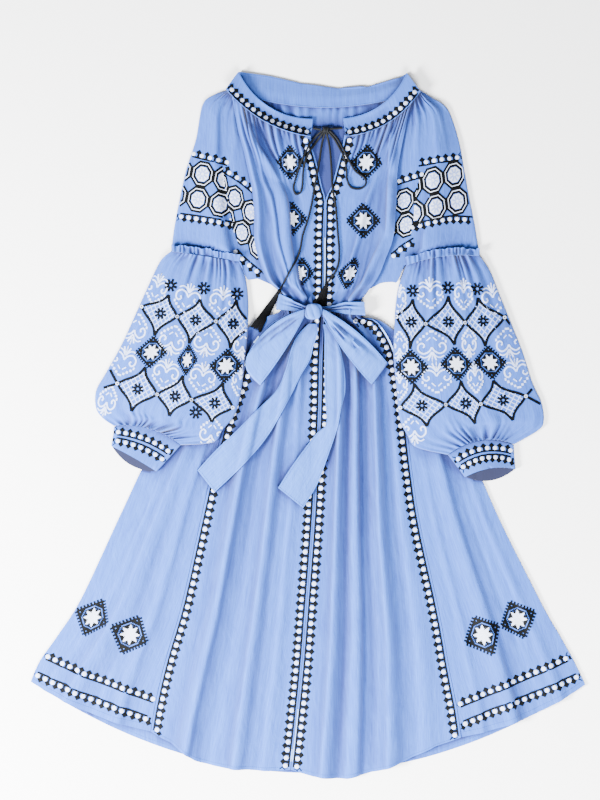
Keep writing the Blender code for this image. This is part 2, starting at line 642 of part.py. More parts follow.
def tassel(name, top, tip, width, below, locks=7, layers=2):
    """Tassel: a bound head, and locks of thread that fan out flat below it."""
    top, tip = np.array(top, float), np.array(tip, float)
    along = (tip - top) / np.linalg.norm(tip - top)
    across = np.array([-along[1], along[0]])
    length = np.linalg.norm(tip - top)
    head = 9.0
    stops = [0.5 * head / length, 0.40, 0.70, 1.0]
    centre = np.array([top + along * length * part for part in [0.04] + stops])
    spread = np.array([0.3] + stops)
    level = np.zeros(len(centre))
    for side in (-0.5, 0, 0.5):
        at = centre + across * side * (width * spread)[:, None]
        level = np.maximum(level, rest(at[:, 0], at[:, 1], below, 4.0))
    level = settle(level)
    tris, points = [], []
    bodies = []
    axis = Vector((along[0], along[1], 0))
    bm = bmesh.new()
    bmesh.ops.create_uvsphere(bm, u_segments=10, v_segments=6, radius=1.0)
    turn = Vector((0, 0, 1)).rotation_difference(axis).to_matrix()
    middle = top + along * head * 0.5
    for v in bm.verts:
        v.co = Vector((v.co.x * 3.6, v.co.y * 3.6, v.co.z * head * 0.62))
        v.co.rotate(turn)
        v.co = (v.co + Vector((middle[0], middle[1], level[0] + 3.6))) * MM
    mesh = bpy.data.meshes.new(name)
    bm.to_mesh(mesh)
    bm.free()
    body = bpy.data.objects.new(name, mesh)
    bpy.context.scene.collection.objects.link(body)
    for layer in range(layers):
        for k in range(locks):
            side = (k + 0.5 * (layer % 2)) / (locks - 0.5) - 0.5
            bm = bmesh.new()
            rings = []
            for j, part in enumerate(stops):
                fan = 3.6 + (width - 3.6) * ((part - stops[0]) / (1 - stops[0])) ** 0.8
                size = 0.24 + (LOCK_R - 0.24) * (part - stops[0]) / (1 - stops[0])
                at = top + along * length * part + across * side * fan
                z = level[j + 1] + 0.8 + 2.0 * layer
                if j == 0:
                    z = level[0] + 3.0 + 1.2 * layer
                ring = []
                for corner in range(3):
                    angle = 2 * math.pi * corner / 3 + math.pi / 2
                    off = across * size * math.cos(angle)
                    ring.append(bm.verts.new(Vector((at[0] + off[0], at[1] + off[1],
                                                     z + size * math.sin(angle))) * MM))
                rings.append(ring)
            for a, b in zip(rings[:-1], rings[1:]):
                for c in range(3):
                    bm.faces.new((a[c], a[(c + 1) % 3], b[(c + 1) % 3], b[c]))
            bm.faces.new(rings[0])
            bm.faces.new(rings[-1])
            bmesh.ops.recalc_face_normals(bm, faces=bm.faces)
            lock = bpy.data.meshes.new("lock")
            bm.to_mesh(lock)
            bm.free()
            piece = bpy.data.objects.new("lock", lock)
            bpy.context.scene.collection.objects.link(piece)
            bodies.append(piece)
    group = bpy.data.collections.new(name + "_locks")
    for piece in bodies:
        group.objects.link(piece)
    cut = body.modifiers.new("join", "BOOLEAN")
    cut.operation = "UNION"
    cut.solver = "EXACT"
    cut.operand_type = "COLLECTION"
    cut.collection = group
    bpy.context.view_layer.update()
    joined = bpy.data.meshes.new_from_object(body.evaluated_get(bpy.context.evaluated_depsgraph_get()))
    for piece in bodies + [body]:
        bpy.data.objects.remove(piece, do_unlink=True)
    bpy.data.collections.remove(group)
    bm = bmesh.new()
    bm.from_mesh(joined)
    bmesh.ops.remove_doubles(bm, verts=bm.verts, dist=0.00001)
    bmesh.ops.triangulate(bm, faces=bm.faces)
    bm.verts.index_update()
    points = [v.co / MM for v in bm.verts]
    tris = [tuple(v.index for v in f.verts) for f in bm.faces]
    bm.free()
    add_solid(name, points, tris, BLACK)
    pole = middle - along * (head * 0.62 + 0.3)
    return pole[0], pole[1], level[0] + 3.6


poles = {}
poles["tie_tail_left"] = tassel("tassel_left", (-46, 225), (-88, 158), 18.0, FRONTS + ("gore_left", "back", "sash_waist"))
poles["tie_tail_right"] = tassel("tassel_right", (32, 236), (20, 198), 20.0, FRONTS + ("sash_waist",))

for name, points in TIE.items():
    ends = {"bar": [-1], "loop": [0, -1], "tail": [0]}[name.split("_")[1]]
    cord(name, points, ends, poles.get(name))
ellipsoid("tie_knot", (KNOT_AT[0], KNOT_AT[1], KNOT_Z), KNOT_R, BLACK)

knot_at = (9, 188)
knot_low = rest(np.array([knot_at[0]]), np.array([knot_at[1]]), FRONTS + ("sash_waist", "tassel_right"), 14)[0]
ellipsoid("sash_knot", (knot_at[0], knot_at[1], knot_low + 6.0), (12.0, 13.6, 6.5), BLUE, 12, 7)
UNDER = FRONTS + ("gore_left", "gore_right", "sash_waist", "tassel_right")
panel("sash_tail_left", TAIL_LEFT, [6] * 9, UNDER, 14, wall=SASH)
panel("sash_tail_right", TAIL_RIGHT, [6] * 10, UNDER, 14, wall=SASH)
LOOP_UNDER = UNDER + ("tassel_left", "sash_tail_left", "sash_tail_right", "lower_sleeve_left")
tube("sash_loop_left", LOOP_LEFT, [8] * 5, 8, LOOP_UNDER, 12, [7, 9, 10, 9, 7], wall=SASH, edge=5.0)
tube("sash_loop_right", LOOP_RIGHT, [8] * 5, 8, LOOP_UNDER, 12, [7, 9, 10, 9, 7], wall=SASH, edge=5.0)
print("triangles", sum(len(o.data.polygons) for o in dress.objects))
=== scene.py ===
"""Light blue cotton a-line dress with gathered sleeves and a tied sash, laid flat with its front up.

Tables are in millimetres: X across the dress, Y from hem to neck, Z up from the surface. A cloth
row runs from its left end to its right end and bows down by its last number.
"""
import json
import math
import random

import bmesh
import bpy
import numpy as np
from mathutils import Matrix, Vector, noise
from mathutils.bvhtree import BVHTree

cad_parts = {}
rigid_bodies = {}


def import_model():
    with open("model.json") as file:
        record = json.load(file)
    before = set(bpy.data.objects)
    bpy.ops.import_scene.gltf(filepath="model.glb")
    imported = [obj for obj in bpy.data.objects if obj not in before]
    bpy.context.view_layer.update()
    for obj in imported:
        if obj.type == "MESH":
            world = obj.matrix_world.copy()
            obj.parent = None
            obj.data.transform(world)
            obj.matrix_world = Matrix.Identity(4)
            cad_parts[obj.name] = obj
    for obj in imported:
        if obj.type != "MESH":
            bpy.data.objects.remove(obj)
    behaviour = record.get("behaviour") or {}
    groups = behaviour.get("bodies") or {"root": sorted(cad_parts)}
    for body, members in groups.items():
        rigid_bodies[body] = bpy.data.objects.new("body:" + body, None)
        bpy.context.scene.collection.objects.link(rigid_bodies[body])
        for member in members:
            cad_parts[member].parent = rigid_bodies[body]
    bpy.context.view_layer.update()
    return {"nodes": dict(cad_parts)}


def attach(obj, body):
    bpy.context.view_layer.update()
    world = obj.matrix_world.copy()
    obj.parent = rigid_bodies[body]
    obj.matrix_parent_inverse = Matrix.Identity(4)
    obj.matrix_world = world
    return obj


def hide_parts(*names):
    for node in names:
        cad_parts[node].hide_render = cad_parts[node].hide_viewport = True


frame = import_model()

# Back: one panel of light blue chambray, a plain weave of blue warp and white weft, gathered into
# the neckband and at the waist. The functions here lay each cloth piece as a thin shell on its solid.
MM = 0.001
CLOTH = 0.9  # thickness of the cloth
FOLD_DEPTH, GATHER_DEPTH = 1.4, 1.35  # how far the tabled heights are drawn out
BLUE, BLUE_DEEP, BLUE_PALE = "#2457b3", "#174198", "#3d6fc5"

BACK = [
    (-107, 553, 165, 558, 26),
    (-102, 522, 162, 525, 18),
    (-97, 492, 157, 492, 13),
    (-85, 433, 147, 433, 7),
    (-73, 375, 138, 375, 3),
    (-63, 317, 130, 317, 0),
    (-52, 262, 117, 262, 0),
    (-42, 225, 103, 227, 0),
    (-42, 208, 89, 207, 0),
    (-44, 193, 89, 191, 0),
    (-47, 186, 91, 179, 0),
    (-77, 176, 123, 172, 10),
    (-117, 148, 163, 137, 23),
    (-168, 87, 210, 72, 33),
    (-210, 33, 243, 12, 37),
    (-267, -55, 287, -85, 47),
    (-312, -148, 325, -170, 60),
    (-377, -287, 392, -303, 83),
    (-417, -350, 422, -355, 110),
    (-447, -393, 443, -393, 133),
    (-462, -427, 462, -432, 150),
]
BACK_GATHERS = [(0, 3, 17, 2.4, 0.7), (9.4, 5.5, 9, 2.0, 0.2), (9.6, 14, 9, 2.0, 0.2)]
solids, laid = {}, {}


def linear(colour):
    """sRGB hex to linear RGBA."""
    parts = [int(colour[i:i + 2], 16) / 255 for i in (1, 3, 5)]
    return [c / 12.92 if c <= 0.04045 else ((c + 0.055) / 1.055) ** 2.4 for c in parts] + [1.0]


def add_node(tree, kind, settings=(), links=()):
    """Adds a node, sets its properties, sockets and colour stops, and links its inputs."""
    node = tree.nodes.new(kind)
    for key, value in dict(settings).items():
        if key == "stops":
            steps = node.color_ramp.elements
            while len(steps) < len(value):
                steps.new(1.0)
            for step, (place, colour) in zip(steps, value):
                step.position, step.color = place, linear(colour)
        elif isinstance(key, str) and hasattr(node, key):
            setattr(node, key, value)
        else:
            node.inputs[key].default_value = value
    for key, socket in dict(links).items():
        tree.links.new(socket, node.inputs[key])
    return node


def new_material(name, sockets):
    """A material with its shader's own sockets set, and its node tree and shader."""
    material = bpy.data.materials.new(name)
    material.use_nodes = True
    shader = material.node_tree.nodes["Principled BSDF"]
    for socket, value in sockets.items():
        shader.inputs[socket].default_value = value
    return material, material.node_tree, shader


def new_object(name, data):
    """A new object in the scene."""
    made = bpy.data.objects.new(name, data)
    bpy.context.scene.collection.objects.link(made)
    return made


def chambray(name, base, deep, pale, crinkle=1.0):
    """Chambray: matt cotton whose thicker warp threads show as fine broken streaks along the cloth.
    Threads are 0.3 mm apart, drawn 1.4 mm wide so that they show; creases from handling are bumps."""
    material, tree, shader = new_material(name, {"Roughness": 0.82, "Sheen Weight": 0.18,
                                                 "Sheen Roughness": 0.6, "Specular IOR Level": 0.25})
    cut = add_node(tree, "ShaderNodeUVMap", {"uv_map": "cut"}).outputs["UV"]
    place = add_node(tree, "ShaderNodeTexCoord").outputs["Object"]
    uneven = []
    for held, scale, settings in ((cut, (720, 24, 1), {"Detail": 3.0, "Roughness": 0.65}),
                                  (cut, (150, 9, 1), {"Detail": 2.0}), (cut, (40, 650, 1), {"Detail": 2.0}),
                                  (place, (60, 22, 60),
                                   {"Detail": 3.0, "Roughness": 0.55, "Distortion": 0.4})):
        drawn = add_node(tree, "ShaderNodeMapping", {"Scale": scale}, {"Vector": held})
        uneven.append(add_node(tree, "ShaderNodeTexNoise", {"Scale": 1.0, **settings},
                               {"Vector": drawn.outputs["Vector"]}).outputs["Fac"])
    slub, streak, cross, crease = uneven
    body = add_node(tree, "ShaderNodeValToRGB", {"stops": [(0.30, deep), (0.72, pale)]}, {"Fac": slub})
    tint = add_node(tree, "ShaderNodeMix", {"data_type": "RGBA", 0: 0.4, 7: linear(base)},
                    {6: body.outputs["Color"]})
    wide = add_node(tree, "ShaderNodeValToRGB", {"stops": [(0.35, "#d9dfee"), (0.62, "#ffffff")]},
                    {"Fac": streak})
    mixed = add_node(tree, "ShaderNodeMix", {"data_type": "RGBA", "blend_type": "MULTIPLY", 0: 0.35},
                     {6: tint.outputs[2], 7: wide.outputs["Color"]})
    # Painted shade: a share stored on each point of the cloth darkens the base colour, in folds, under
    # overlaps, inside the neck slit and inside the cuffs.
    hollow = add_node(tree, "ShaderNodeAttribute", {"attribute_name": "cover"})
    painted_shade_ramp = add_node(tree, "ShaderNodeValToRGB",
                         {"stops": [(0.05, "#ffffff"), (0.5, "#677498"), (1.0, "#0c1830")]},
                         {"Fac": hollow.outputs["Fac"]})
    shade = add_node(tree, "ShaderNodeMix", {"data_type": "RGBA", "blend_type": "MULTIPLY", 0: 1.0},
                     {6: mixed.outputs[2], 7: painted_shade_ramp.outputs["Color"]})
    tree.links.new(shade.outputs[2], shader.inputs["Base Color"])
    bump = add_node(tree, "ShaderNodeBump", {"Strength": 0.7 * crinkle, "Distance": 0.0026},
                    {"Height": crease})
    grain = add_node(tree, "ShaderNodeMath", {"operation": "ADD"}, {0: slub, 1: cross})
    fine = add_node(tree, "ShaderNodeBump", {"Strength": 0.35, "Distance": 0.0004},
                    {"Height": grain.outputs[0], "Normal": bump.outputs["Normal"]})
    tree.links.new(fine.outputs["Normal"], shader.inputs["Normal"])
    return material


def on_curve(a, b, c, d, t):
    """Point at part t from b to c of a smooth curve through a, b, c and d."""
    return 0.5 * (2 * b + (c - a) * t + (2 * a - 5 * b + 4 * c - d) * t * t
                  + (3 * b - a - 3 * c + d) * t ** 3)


def between(rows, v):
    """Row at any place between the tabled rows, on a smooth curve through them."""
    table = np.array([r[:5] for r in rows], float)
    i = min(int(v), len(table) - 2)
    return on_curve(table[max(i - 1, 0)], table[i], table[i + 1], table[min(i + 2, len(table) - 1)], v - i)


def plan(rows, v, s, drops=None, bow=None, inset=0.4):
    """Plan points at parts s across the row at v; drops leave the row by tabled distances."""
    lx, ly, rx, ry, own = between(rows, v)
    run = math.hypot(rx - lx, ry - ly)
    ux, uy = (rx - lx) / run, (ry - ly) / run
    along = inset + s * (run - 2 * inset)
    down = 4 * (own if bow is None else bow) * s * (1 - s)
    for i, table in (drops or {}).items():
        share = max(0.0, 1 - abs(v - i))
        down = down + share * np.interp(s, [d[0] for d in table], [d[1] for d in table])
    return lx + ux * along + uy * down, ly + uy * along - ux * down


def fine_rows(rows, step):
    """Places between the first and last row, about one step apart."""
    out = []
    for i in range(len(rows) - 1):
        a, b = between(rows, i), between(rows, i + 1)
        gap = math.hypot(a[0] + a[2] - b[0] - b[2], a[1] + a[3] - b[1] - b[3]) / 2
        count = max(1, round(gap / step))
        out += [i + k / count for k in range(count)]
    return out + [len(rows) - 1]


def folds_over(folds, s, v):
    """Height of the folds over each s at row v: ridges above 0, troughs below. A fold runs from row v0
    and part s0 to row v1 and part s1, and has its half width and height at each end, and its lean."""
    high, low = np.zeros_like(s), np.zeros_like(s)
    for v0, s0, v1, s1, wide0, wide1, high0, high1, lean in folds:
        if v0 <= v <= v1:
            part = (v - v0) / (v1 - v0)
            off = s - (s0 + (s1 - s0) * part)
            wide = (wide0 + (wide1 - wide0) * part) * np.where(off < 0, 1 - lean, 1 + lean)
            end = min(1, 4 * part + (v0 == 0), 4 * (1 - part) + (v1 >= 9.9))
            wave = end * np.cos(0.5 * math.pi * np.clip(np.abs(off) / wide, 0, 1)) ** 2
            tall = (high0 + (high1 - high0) * part) * wave
            high, low = np.maximum(high, tall), np.minimum(low, tall)
    return FOLD_DEPTH * (high + low)


def gathers_over(gathers, s, v):
    """Height of the gathers over each s: uneven small pleats that fade from the full row."""
    high = np.zeros_like(s)
    for full, gone, count, tall, uneven in gathers:
        part = (v - full) / (gone - full)
        if 0 <= part < 1:
            phase = count * s + 0.30 * np.sin(2 * math.pi * (2.3 * s + uneven))
            phase = phase + 0.12 * np.sin(2 * math.pi * (5.7 * s))
            reach = 0.55 + 0.45 * np.sin(2 * math.pi * (3.1 * s + 2 * uneven))
            fade = np.clip(1 - part / reach, 0, 1)
            high = high + GATHER_DEPTH * tall * fade * (0.5 - 0.5 * np.cos(2 * math.pi * phase)) ** 0.8
    return high


def solid_height(name, x, y, up=1):
    """Height of a solid's upper face over plan points, or of its lower face with up=-1."""
    if name not in solids:
        mesh = frame["nodes"][name].data
        faces = [p.vertices for p in mesh.polygons]
        solids[name] = BVHTree.FromPolygons([v.co for v in mesh.vertices], faces)
    tree = solids[name]
    out = np.empty(x.shape)
    for at in np.ndindex(x.shape):
        spot = Vector((x[at] * MM, y[at] * MM, 0.1 * up))
        hit = tree.ray_cast(spot, Vector((0, 0, -up)))[0]
        if hit is None:
            spot.z = 0.03 if up > 0 else 0.0
            hit = tree.find_nearest(spot)[0]
        out[at] = hit.z / MM
    return out


def laid_height(names, x, y):
    """Height of the pieces that are already laid, over plan points; 0 where there is none."""
    out = np.zeros(x.shape)
    for at in np.ndindex(x.shape):
        spot = Vector((x[at] * MM, y[at] * MM, 0.2))
        for name in names:
            hit = laid[name].ray_cast(spot, Vector((0, 0, -1)))[0]
            if hit is not None:
                out[at] = max(out[at], hit.z / MM)
    return out


def soften(grid, times):
    """Blurs a grid of heights by one cell each time."""
    for _ in range(times):
        wide = np.pad(grid, 1, mode="edge")
        grid = (wide[:-2, 1:-1] + 2 * wide[1:-1, 1:-1] + wide[2:, 1:-1]) / 4
        wide = np.pad(grid, 1, mode="edge")
        grid = (wide[1:-1, :-2] + 2 * wide[1:-1, 1:-1] + wide[1:-1, 2:]) / 4
    return grid


def clear_of(z, need):
    """Lifts a grid of heights smoothly to at least what it needs."""
    lift = np.maximum(need - z, 0)
    wide = np.pad(lift, 1, mode="edge")
    high, across = lift.shape
    peak = np.max([wide[i:i + high, j:j + across] for i in range(3) for j in range(3)], axis=0)
    return z + np.maximum(soften(peak, 1), lift)


def drift(u, v, seed, size=(38, 110), tall=0.8):
    """Slow uneven rise and fall of resting cloth, longer along the cloth than across it."""
    out = np.empty(u.shape)
    for at in np.ndindex(u.shape):
        out[at] = noise.noise(Vector((u[at] / size[0], v[at] / size[1], seed * 7.31)))
        out[at] += 0.5 * noise.noise(Vector((u[at] / size[0] * 2.3, v[at] / size[1] * 2.3, seed * 3.17)))
    return tall * out


def shell(name, top, flat, material, closed=False, thick=CLOTH):
    """Closed thin shell: a grid of outer points (rows, columns, xyz), and the same moved inwards."""
    rows, cols = top.shape[:2]
    if closed:
        along = np.roll(top, -1, 1) - np.roll(top, 1, 1)
    else:
        along = np.gradient(top, axis=1)
    normal = np.cross(along, np.gradient(top, axis=0))
    normal /= np.maximum(np.linalg.norm(normal, axis=2, keepdims=True), 1e-9)
    if not closed:
        normal *= np.sign(normal[:, :, 2:3].mean())
    elif normal[rows // 2, cols // 4, 2] < 0:
        normal = -normal
    under = top - normal * thick
    points = np.concatenate((top.reshape(-1, 3), under.reshape(-1, 3))) * MM
    last = cols if closed else cols - 1
    faces, corners = [], []

    def add(a, b, c, d):
        faces.append([k * rows * cols + i * cols + j % cols for k, i, j in (a, b, c, d)])
        corners.append([flat[i, j] for _, i, j in (a, b, c, d)])

    for i in range(rows - 1):
        for j in range(last):
            add((0, i, j), (0, i + 1, j), (0, i + 1, j + 1), (0, i, j + 1))
            add((1, i, j), (1, i, j + 1), (1, i + 1, j + 1), (1, i + 1, j))
    for j in range(last):
        add((0, 0, j), (0, 0, j + 1), (1, 0, j + 1), (1, 0, j))
        add((0, rows - 1, j + 1), (0, rows - 1, j), (1, rows - 1, j), (1, rows - 1, j + 1))
    if not closed:
        for i in range(rows - 1):
            add((0, i + 1, 0), (0, i, 0), (1, i, 0), (1, i + 1, 0))
            add((0, i, cols - 1), (0, i + 1, cols - 1), (1, i + 1, cols - 1), (1, i, cols - 1))
    mesh = bpy.data.meshes.new(name)
    mesh.from_pydata(points.tolist(), [], faces)
    cut = mesh.uv_layers.new(name="cut")
    cut.data.foreach_set("uv", (np.array(corners) * MM).ravel())
    mesh.materials.append(material)
    bm = bmesh.new()
    bm.from_mesh(mesh)
    bmesh.ops.recalc_face_normals(bm, faces=bm.faces)
    bm.to_mesh(mesh)
    laid[name] = BVHTree.FromBMesh(bm)
    bm.free()
    mesh.shade_smooth()
    mesh.set_sharp_from_angle(angle=math.radians(70))
    return new_object(name, mesh)


def declare(piece, node):
    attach(piece, "root")
    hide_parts(node)


def cloth_panel(name, rows, columns, step, material, folds=(), gathers=(), drops=None, cut=0, seed=1,
                below=(), sway=0.8, blur=4, thick=CLOTH, gap=0.35):
    """Lays one flat piece: its solid's heights smoothed, then its finer creases and gathers."""
    places = fine_rows(rows, step)
    s = np.linspace(0, 1, columns + 1)
    x, y, flat, fine = [], [], [], []
    for v in places:
        px, py = plan(rows, v, s, drops)
        run = math.hypot(px[-1] - px[0], py[-1] - py[0])
        x.append(px)
        y.append(py)
        flat.append((s - 0.5) * max(run, cut))
        fine.append(folds_over(folds, s, v) + gathers_over(gathers, s, v))
    x, y, flat, fine = np.array(x), np.array(y), np.array(flat), np.array(fine)
    length = np.concatenate(([0], np.cumsum(np.hypot(np.diff(x, axis=0), np.diff(y, axis=0)).mean(axis=1))))
    down = np.repeat(length[:, None], columns + 1, axis=1)
    z = soften(solid_height(name, x, y), blur) + fine + drift(x, y, seed, tall=sway)
    z = clear_of(z, (laid_height(below, x, y) if below else 0 * z) + thick + gap)
    top = np.stack((x, y, z), axis=2)
    piece = shell("cloth_" + name, top, np.stack((flat, down), axis=2), material, thick=thick)
    laid[name] = laid["cloth_" + name]
    return piece, top


chambray_blue = chambray("chambray_light_blue", BLUE, BLUE_DEEP, BLUE_PALE)
back, top = cloth_panel("back", BACK, 96, 7, chambray_blue, gathers=BACK_GATHERS, seed=2, sway=0.6,
                        thick=0.8)
declare(back, "back")

# Upper sleeves: raglan sleeve heads of the same chambray, cut in one with the shoulder, gathered
# into the neckband, lying flat as a tube of two layers with a soft crease where they fold under.
UPPER_LEFT = [
    (-136, 557, -107, 553, 0),
    (-157, 549, -102, 522, 0),
    (-175, 533, -97, 492, 0),
    (-186, 475, -85, 433, 0),
    (-202, 425, -73, 375, 0),
    (-213, 375, -63, 317, 0),
    (-222, 328, -52, 262, 0),
    (-227, 289, -42, 225, 0),
]
UPPER_RIGHT = [
    (165, 558, 188, 556, 0),
    (162, 525, 205, 545, 0),
    (157, 492, 232, 525, 0),
    (147, 433, 250, 475, 0),
    (138, 375, 259, 428, 0),
    (130, 317, 267, 383, 0),
    (117, 262, 277, 333, 0),
    (103, 227, 285, 282, 0),
]
UPPER_LEFT_END = [(0, 0), (0.17, -7), (0.33, -14), (0.48, -16), (0.58, -21), (0.69, 4), (0.77, -4), (1, 0)]
UPPER_RIGHT_END = [(0, 0), (0.11, -4), (0.19, -1), (0.24, 4), (0.34, -20), (0.50, -24), (0.66, -19),
                   (0.86, -9), (1, 0)]
UPPER_LEFT_UNDER = [(0, 0), (0.17, -8), (0.33, -16), (0.5, -22), (0.67, -20), (0.83, -4), (1, 0)]


def cloth_tube(name, rows, columns, step, material, folds=(), gathers=(), drops=None, low_drops=None, cut=0,
               seed=1, below=(), sway=0.6, blur=3, thick=CLOTH, gap=0.35, bulge=1.3, low_bows=None):
    """Lays one flattened tube as a ring of an upper and a lower layer that turn at its two sides."""
    places = fine_rows(rows, step)
    s = np.linspace(0, 1, columns[0] + 1)
    t = np.linspace(0, 1, columns[1] + 1)
    upper, lower, sides, fine, runs = [], [], [], [], []
    for v in places:
        bow = None
        if low_bows:
            bow = float(np.interp(v, range(len(low_bows)), low_bows))
        run = math.dist(between(rows, v)[:2], between(rows, v)[2:4])
        runs.append(run)
        upper.append(plan(rows, v, s, drops))
        lower.append(plan(rows, v, t[::-1], low_drops if low_drops is not None else drops, bow))
        sides.append([plan(rows, v, np.array([part]), drops) for part in (1 + bulge / run, -bulge / run)])
        fine.append(folds_over(folds, s, v) + gathers_over(gathers, s, v))
    upper, lower, fine = np.array(upper), np.array(lower), np.array(fine)
    sides = np.array(sides)[:, :, :, 0]
    xt, yt, xl, yl = upper[:, 0], upper[:, 1], lower[:, 0], lower[:, 1]
    hold = np.clip(np.arange(columns[0] + 1), 1, columns[0] - 1)
    zt = soften(solid_height(name, xt[:, hold], yt[:, hold]), blur)
    fade = np.minimum(1, 5 * np.minimum(s, 1 - s))
    zt = zt + (fine + drift(xt, yt, seed, tall=sway)) * fade
    hold = np.clip(np.arange(columns[1] + 1), 1, columns[1] - 1)
    zl = soften(solid_height(name, xl[:, hold], yl[:, hold], -1), 1)
    zl = clear_of(zl, (laid_height(below, xl, yl) if below else 0 * zl) + gap)
    need = (laid_height(below, xt, yt) if below else 0 * zt) + 2 * thick + 2 * gap
    zt = clear_of(zt, need)
    mid_right = (0.55 * zt[:, -1] + 0.45 * zl[:, 0])[:, None]
    mid_left = (0.55 * zt[:, 0] + 0.45 * zl[:, -1])[:, None]
    x = np.concatenate((xt, sides[:, 0, :1], xl, sides[:, 1, :1]), axis=1)
    y = np.concatenate((yt, sides[:, 0, 1:], yl, sides[:, 1, 1:]), axis=1)
    z = np.concatenate((zt, mid_right, zl, mid_left), axis=1)
    top = np.stack((x, y, z), axis=2)
    ring = np.concatenate((x, x[:, :1]), axis=1), np.concatenate((y, y[:, :1]), axis=1)
    across = np.cumsum(np.hypot(np.diff(ring[0], axis=1), np.diff(ring[1], axis=1)), axis=1)
    across = np.concatenate((np.zeros((len(places), 1)), across), axis=1)
    across = (across - across[:, -1:] / 4) * np.maximum(1, cut / np.array(runs))[:, None]
    steps = np.hypot(np.diff(xt, axis=0), np.diff(yt, axis=0)).mean(axis=1)
    length = np.concatenate(([0], np.cumsum(steps)))
    flat = np.stack((across, np.repeat(length[:, None], across.shape[1], axis=1)), axis=2)
    piece = shell("cloth_" + name, top, flat, material, closed=True, thick=thick)
    laid[name] = laid["cloth_" + name]
    closed_top = np.concatenate((top, top[:, :1]), axis=1)
    return piece, closed_top


UPPER_FOLDS = {
    "left": [
        (0.6, 0.30, 4, 0.34, 0.10, 0.16, 0.5, 2.5, -0.5),
        (3, 0.38, 7, 0.58, 0.16, 0.20, 1.0, 4.0, -0.80),
        (0, 0.60, 3.2, 0.70, 0.08, 0.10, 2.0, 0.8, 0.2),
        (0, 0.44, 2.2, 0.46, 0.06, 0.08, 1.6, 0.5, 0.0),
    ],
    "right": [
        (0.6, 0.70, 4, 0.64, 0.10, 0.16, 0.5, 2.5, 0.5),
        (3, 0.58, 7, 0.42, 0.16, 0.20, 1.0, 4.0, 0.80),
        (0, 0.40, 3.2, 0.30, 0.08, 0.10, 2.0, 0.8, -0.2),
        (0, 0.55, 2.2, 0.52, 0.06, 0.08, 1.6, 0.5, 0.0),
    ],
}
UPPER_GATHERS = [(0, 3.4, 9, 3.0, 0.4)]
for side, rows, ends, under in (("left", UPPER_LEFT, UPPER_LEFT_END, UPPER_LEFT_UNDER),
                                ("right", UPPER_RIGHT, UPPER_RIGHT_END, UPPER_RIGHT_END)):
    sleeve, top = cloth_tube("upper_sleeve_" + side, rows, (56, 20), 4.5, chambray_blue, UPPER_FOLDS[side],
                             UPPER_GATHERS, {7: ends}, {7: under}, seed=3)
    declare(sleeve, "upper_sleeve_" + side)

# Side gores: a flared panel each side of the skirt between front and back, sewn to the front with
# a pressed seam. They lie loose on the back in long soft folds.
GORE_LEFT = [
    (-47, 193, -41, 192, 0),
    (-48, 188, -41, 182, 0),
    (-77, 176, -66, 166, 0),
    (-117, 148, -97, 128, 0),
    (-168, 87, -113, 75, 0),
    (-210, 33, -133, 22, 2),
    (-267, -55, -158, -67, 3),
    (-312, -148, -178, -155, 5),
    (-377, -287, -210, -298, 7),
    (-417, -350, -235, -383, 8),
    (-447, -393, -252, -453, 10),
    (-462, -427, -262, -510, 10),
]
GORE_RIGHT = [
    (88, 191, 91, 192, 0),
    (90, 179, 91, 180, 0),
    (115, 172, 123, 172, 0),
    (142, 128, 163, 137, 0),
    (155, 67, 210, 72, 0),
    (162, 17, 243, 12, 2),
    (173, -75, 287, -85, 3),
    (187, -167, 325, -170, 5),
    (218, -310, 392, -303, 7),
    (235, -405, 422, -355, 8),
    (248, -472, 443, -393, 10),
    (255, -520, 462, -432, 12),
]
GORE_FOLDS = {
    "left": [
        (3, 0.60, 11, 0.30, 0.16, 0.10, 0.5, 4.0, 0.4),
        (4, 0.80, 11, 0.74, 0.08, 0.09, 0.5, 3.0, -0.3),
        (5, 0.40, 11, 0.12, 0.08, 0.06, 0.5, 2.2, 0.3),
        (6, 0.62, 11, 0.52, 0.05, 0.06, -0.5, -1.6, 0.0),
    ],
    "right": [
        (3, 0.50, 11, 0.42, 0.16, 0.09, 0.5, 5.0, -0.5),
        (4, 0.85, 11, 0.78, 0.08, 0.07, 0.5, 3.0, 0.2),
        (5, 0.22, 11, 0.16, 0.06, 0.06, 0.5, 2.4, -0.2),
        (6, 0.66, 11, 0.60, 0.05, 0.05, -0.5, -1.6, 0.0),
    ],
}
for side, rows in (("left", GORE_LEFT), ("right", GORE_RIGHT)):
    gore, top = cloth_panel("gore_" + side, rows, 56, 5, chambray_blue, GORE_FOLDS[side], seed=5,
                            below=["back"])
    declare(gore, "gore_" + side)

# Fronts: two panels, each in one length from neckband to hem, joined down the centre below the
# neck slit. They are gathered at the neck, caught in by the sash and fall in long folds.
FRONT_LEFT = [
    (-127, 547, 5, 480, 13),
    (-122, 520, 7, 463, 13),
    (-117, 492, 12, 445, 12),
    (-108, 458, 18, 422, 8),
    (-100, 422, 23, 398, 7),
    (-93, 388, 29, 375, 3),
    (-90, 350, 28, 342, 0),
    (-90, 312, 27, 303, 0),
    (-82, 275, 27, 265, 0),
    (-68, 240, 26, 228, 0),
    (-44, 218, 26, 207, 0),
    (-41, 192, 25, 185, 0),
    (-41, 182, 24, 170, 0),
    (-66, 166, 23, 148, 2),
    (-97, 128, 21, 105, 3),
    (-113, 75, 20, 50, 3),
    (-133, 22, 18, -5, 3),
    (-158, -67, 13, -85, 5),
    (-178, -155, 8, -168, 8),
    (-210, -298, -4, -322, 15),
    (-235, -383, -11, -408, 18),
    (-252, -453, -20, -495, 22),
    (-262, -510, -29, -574, 27),
]
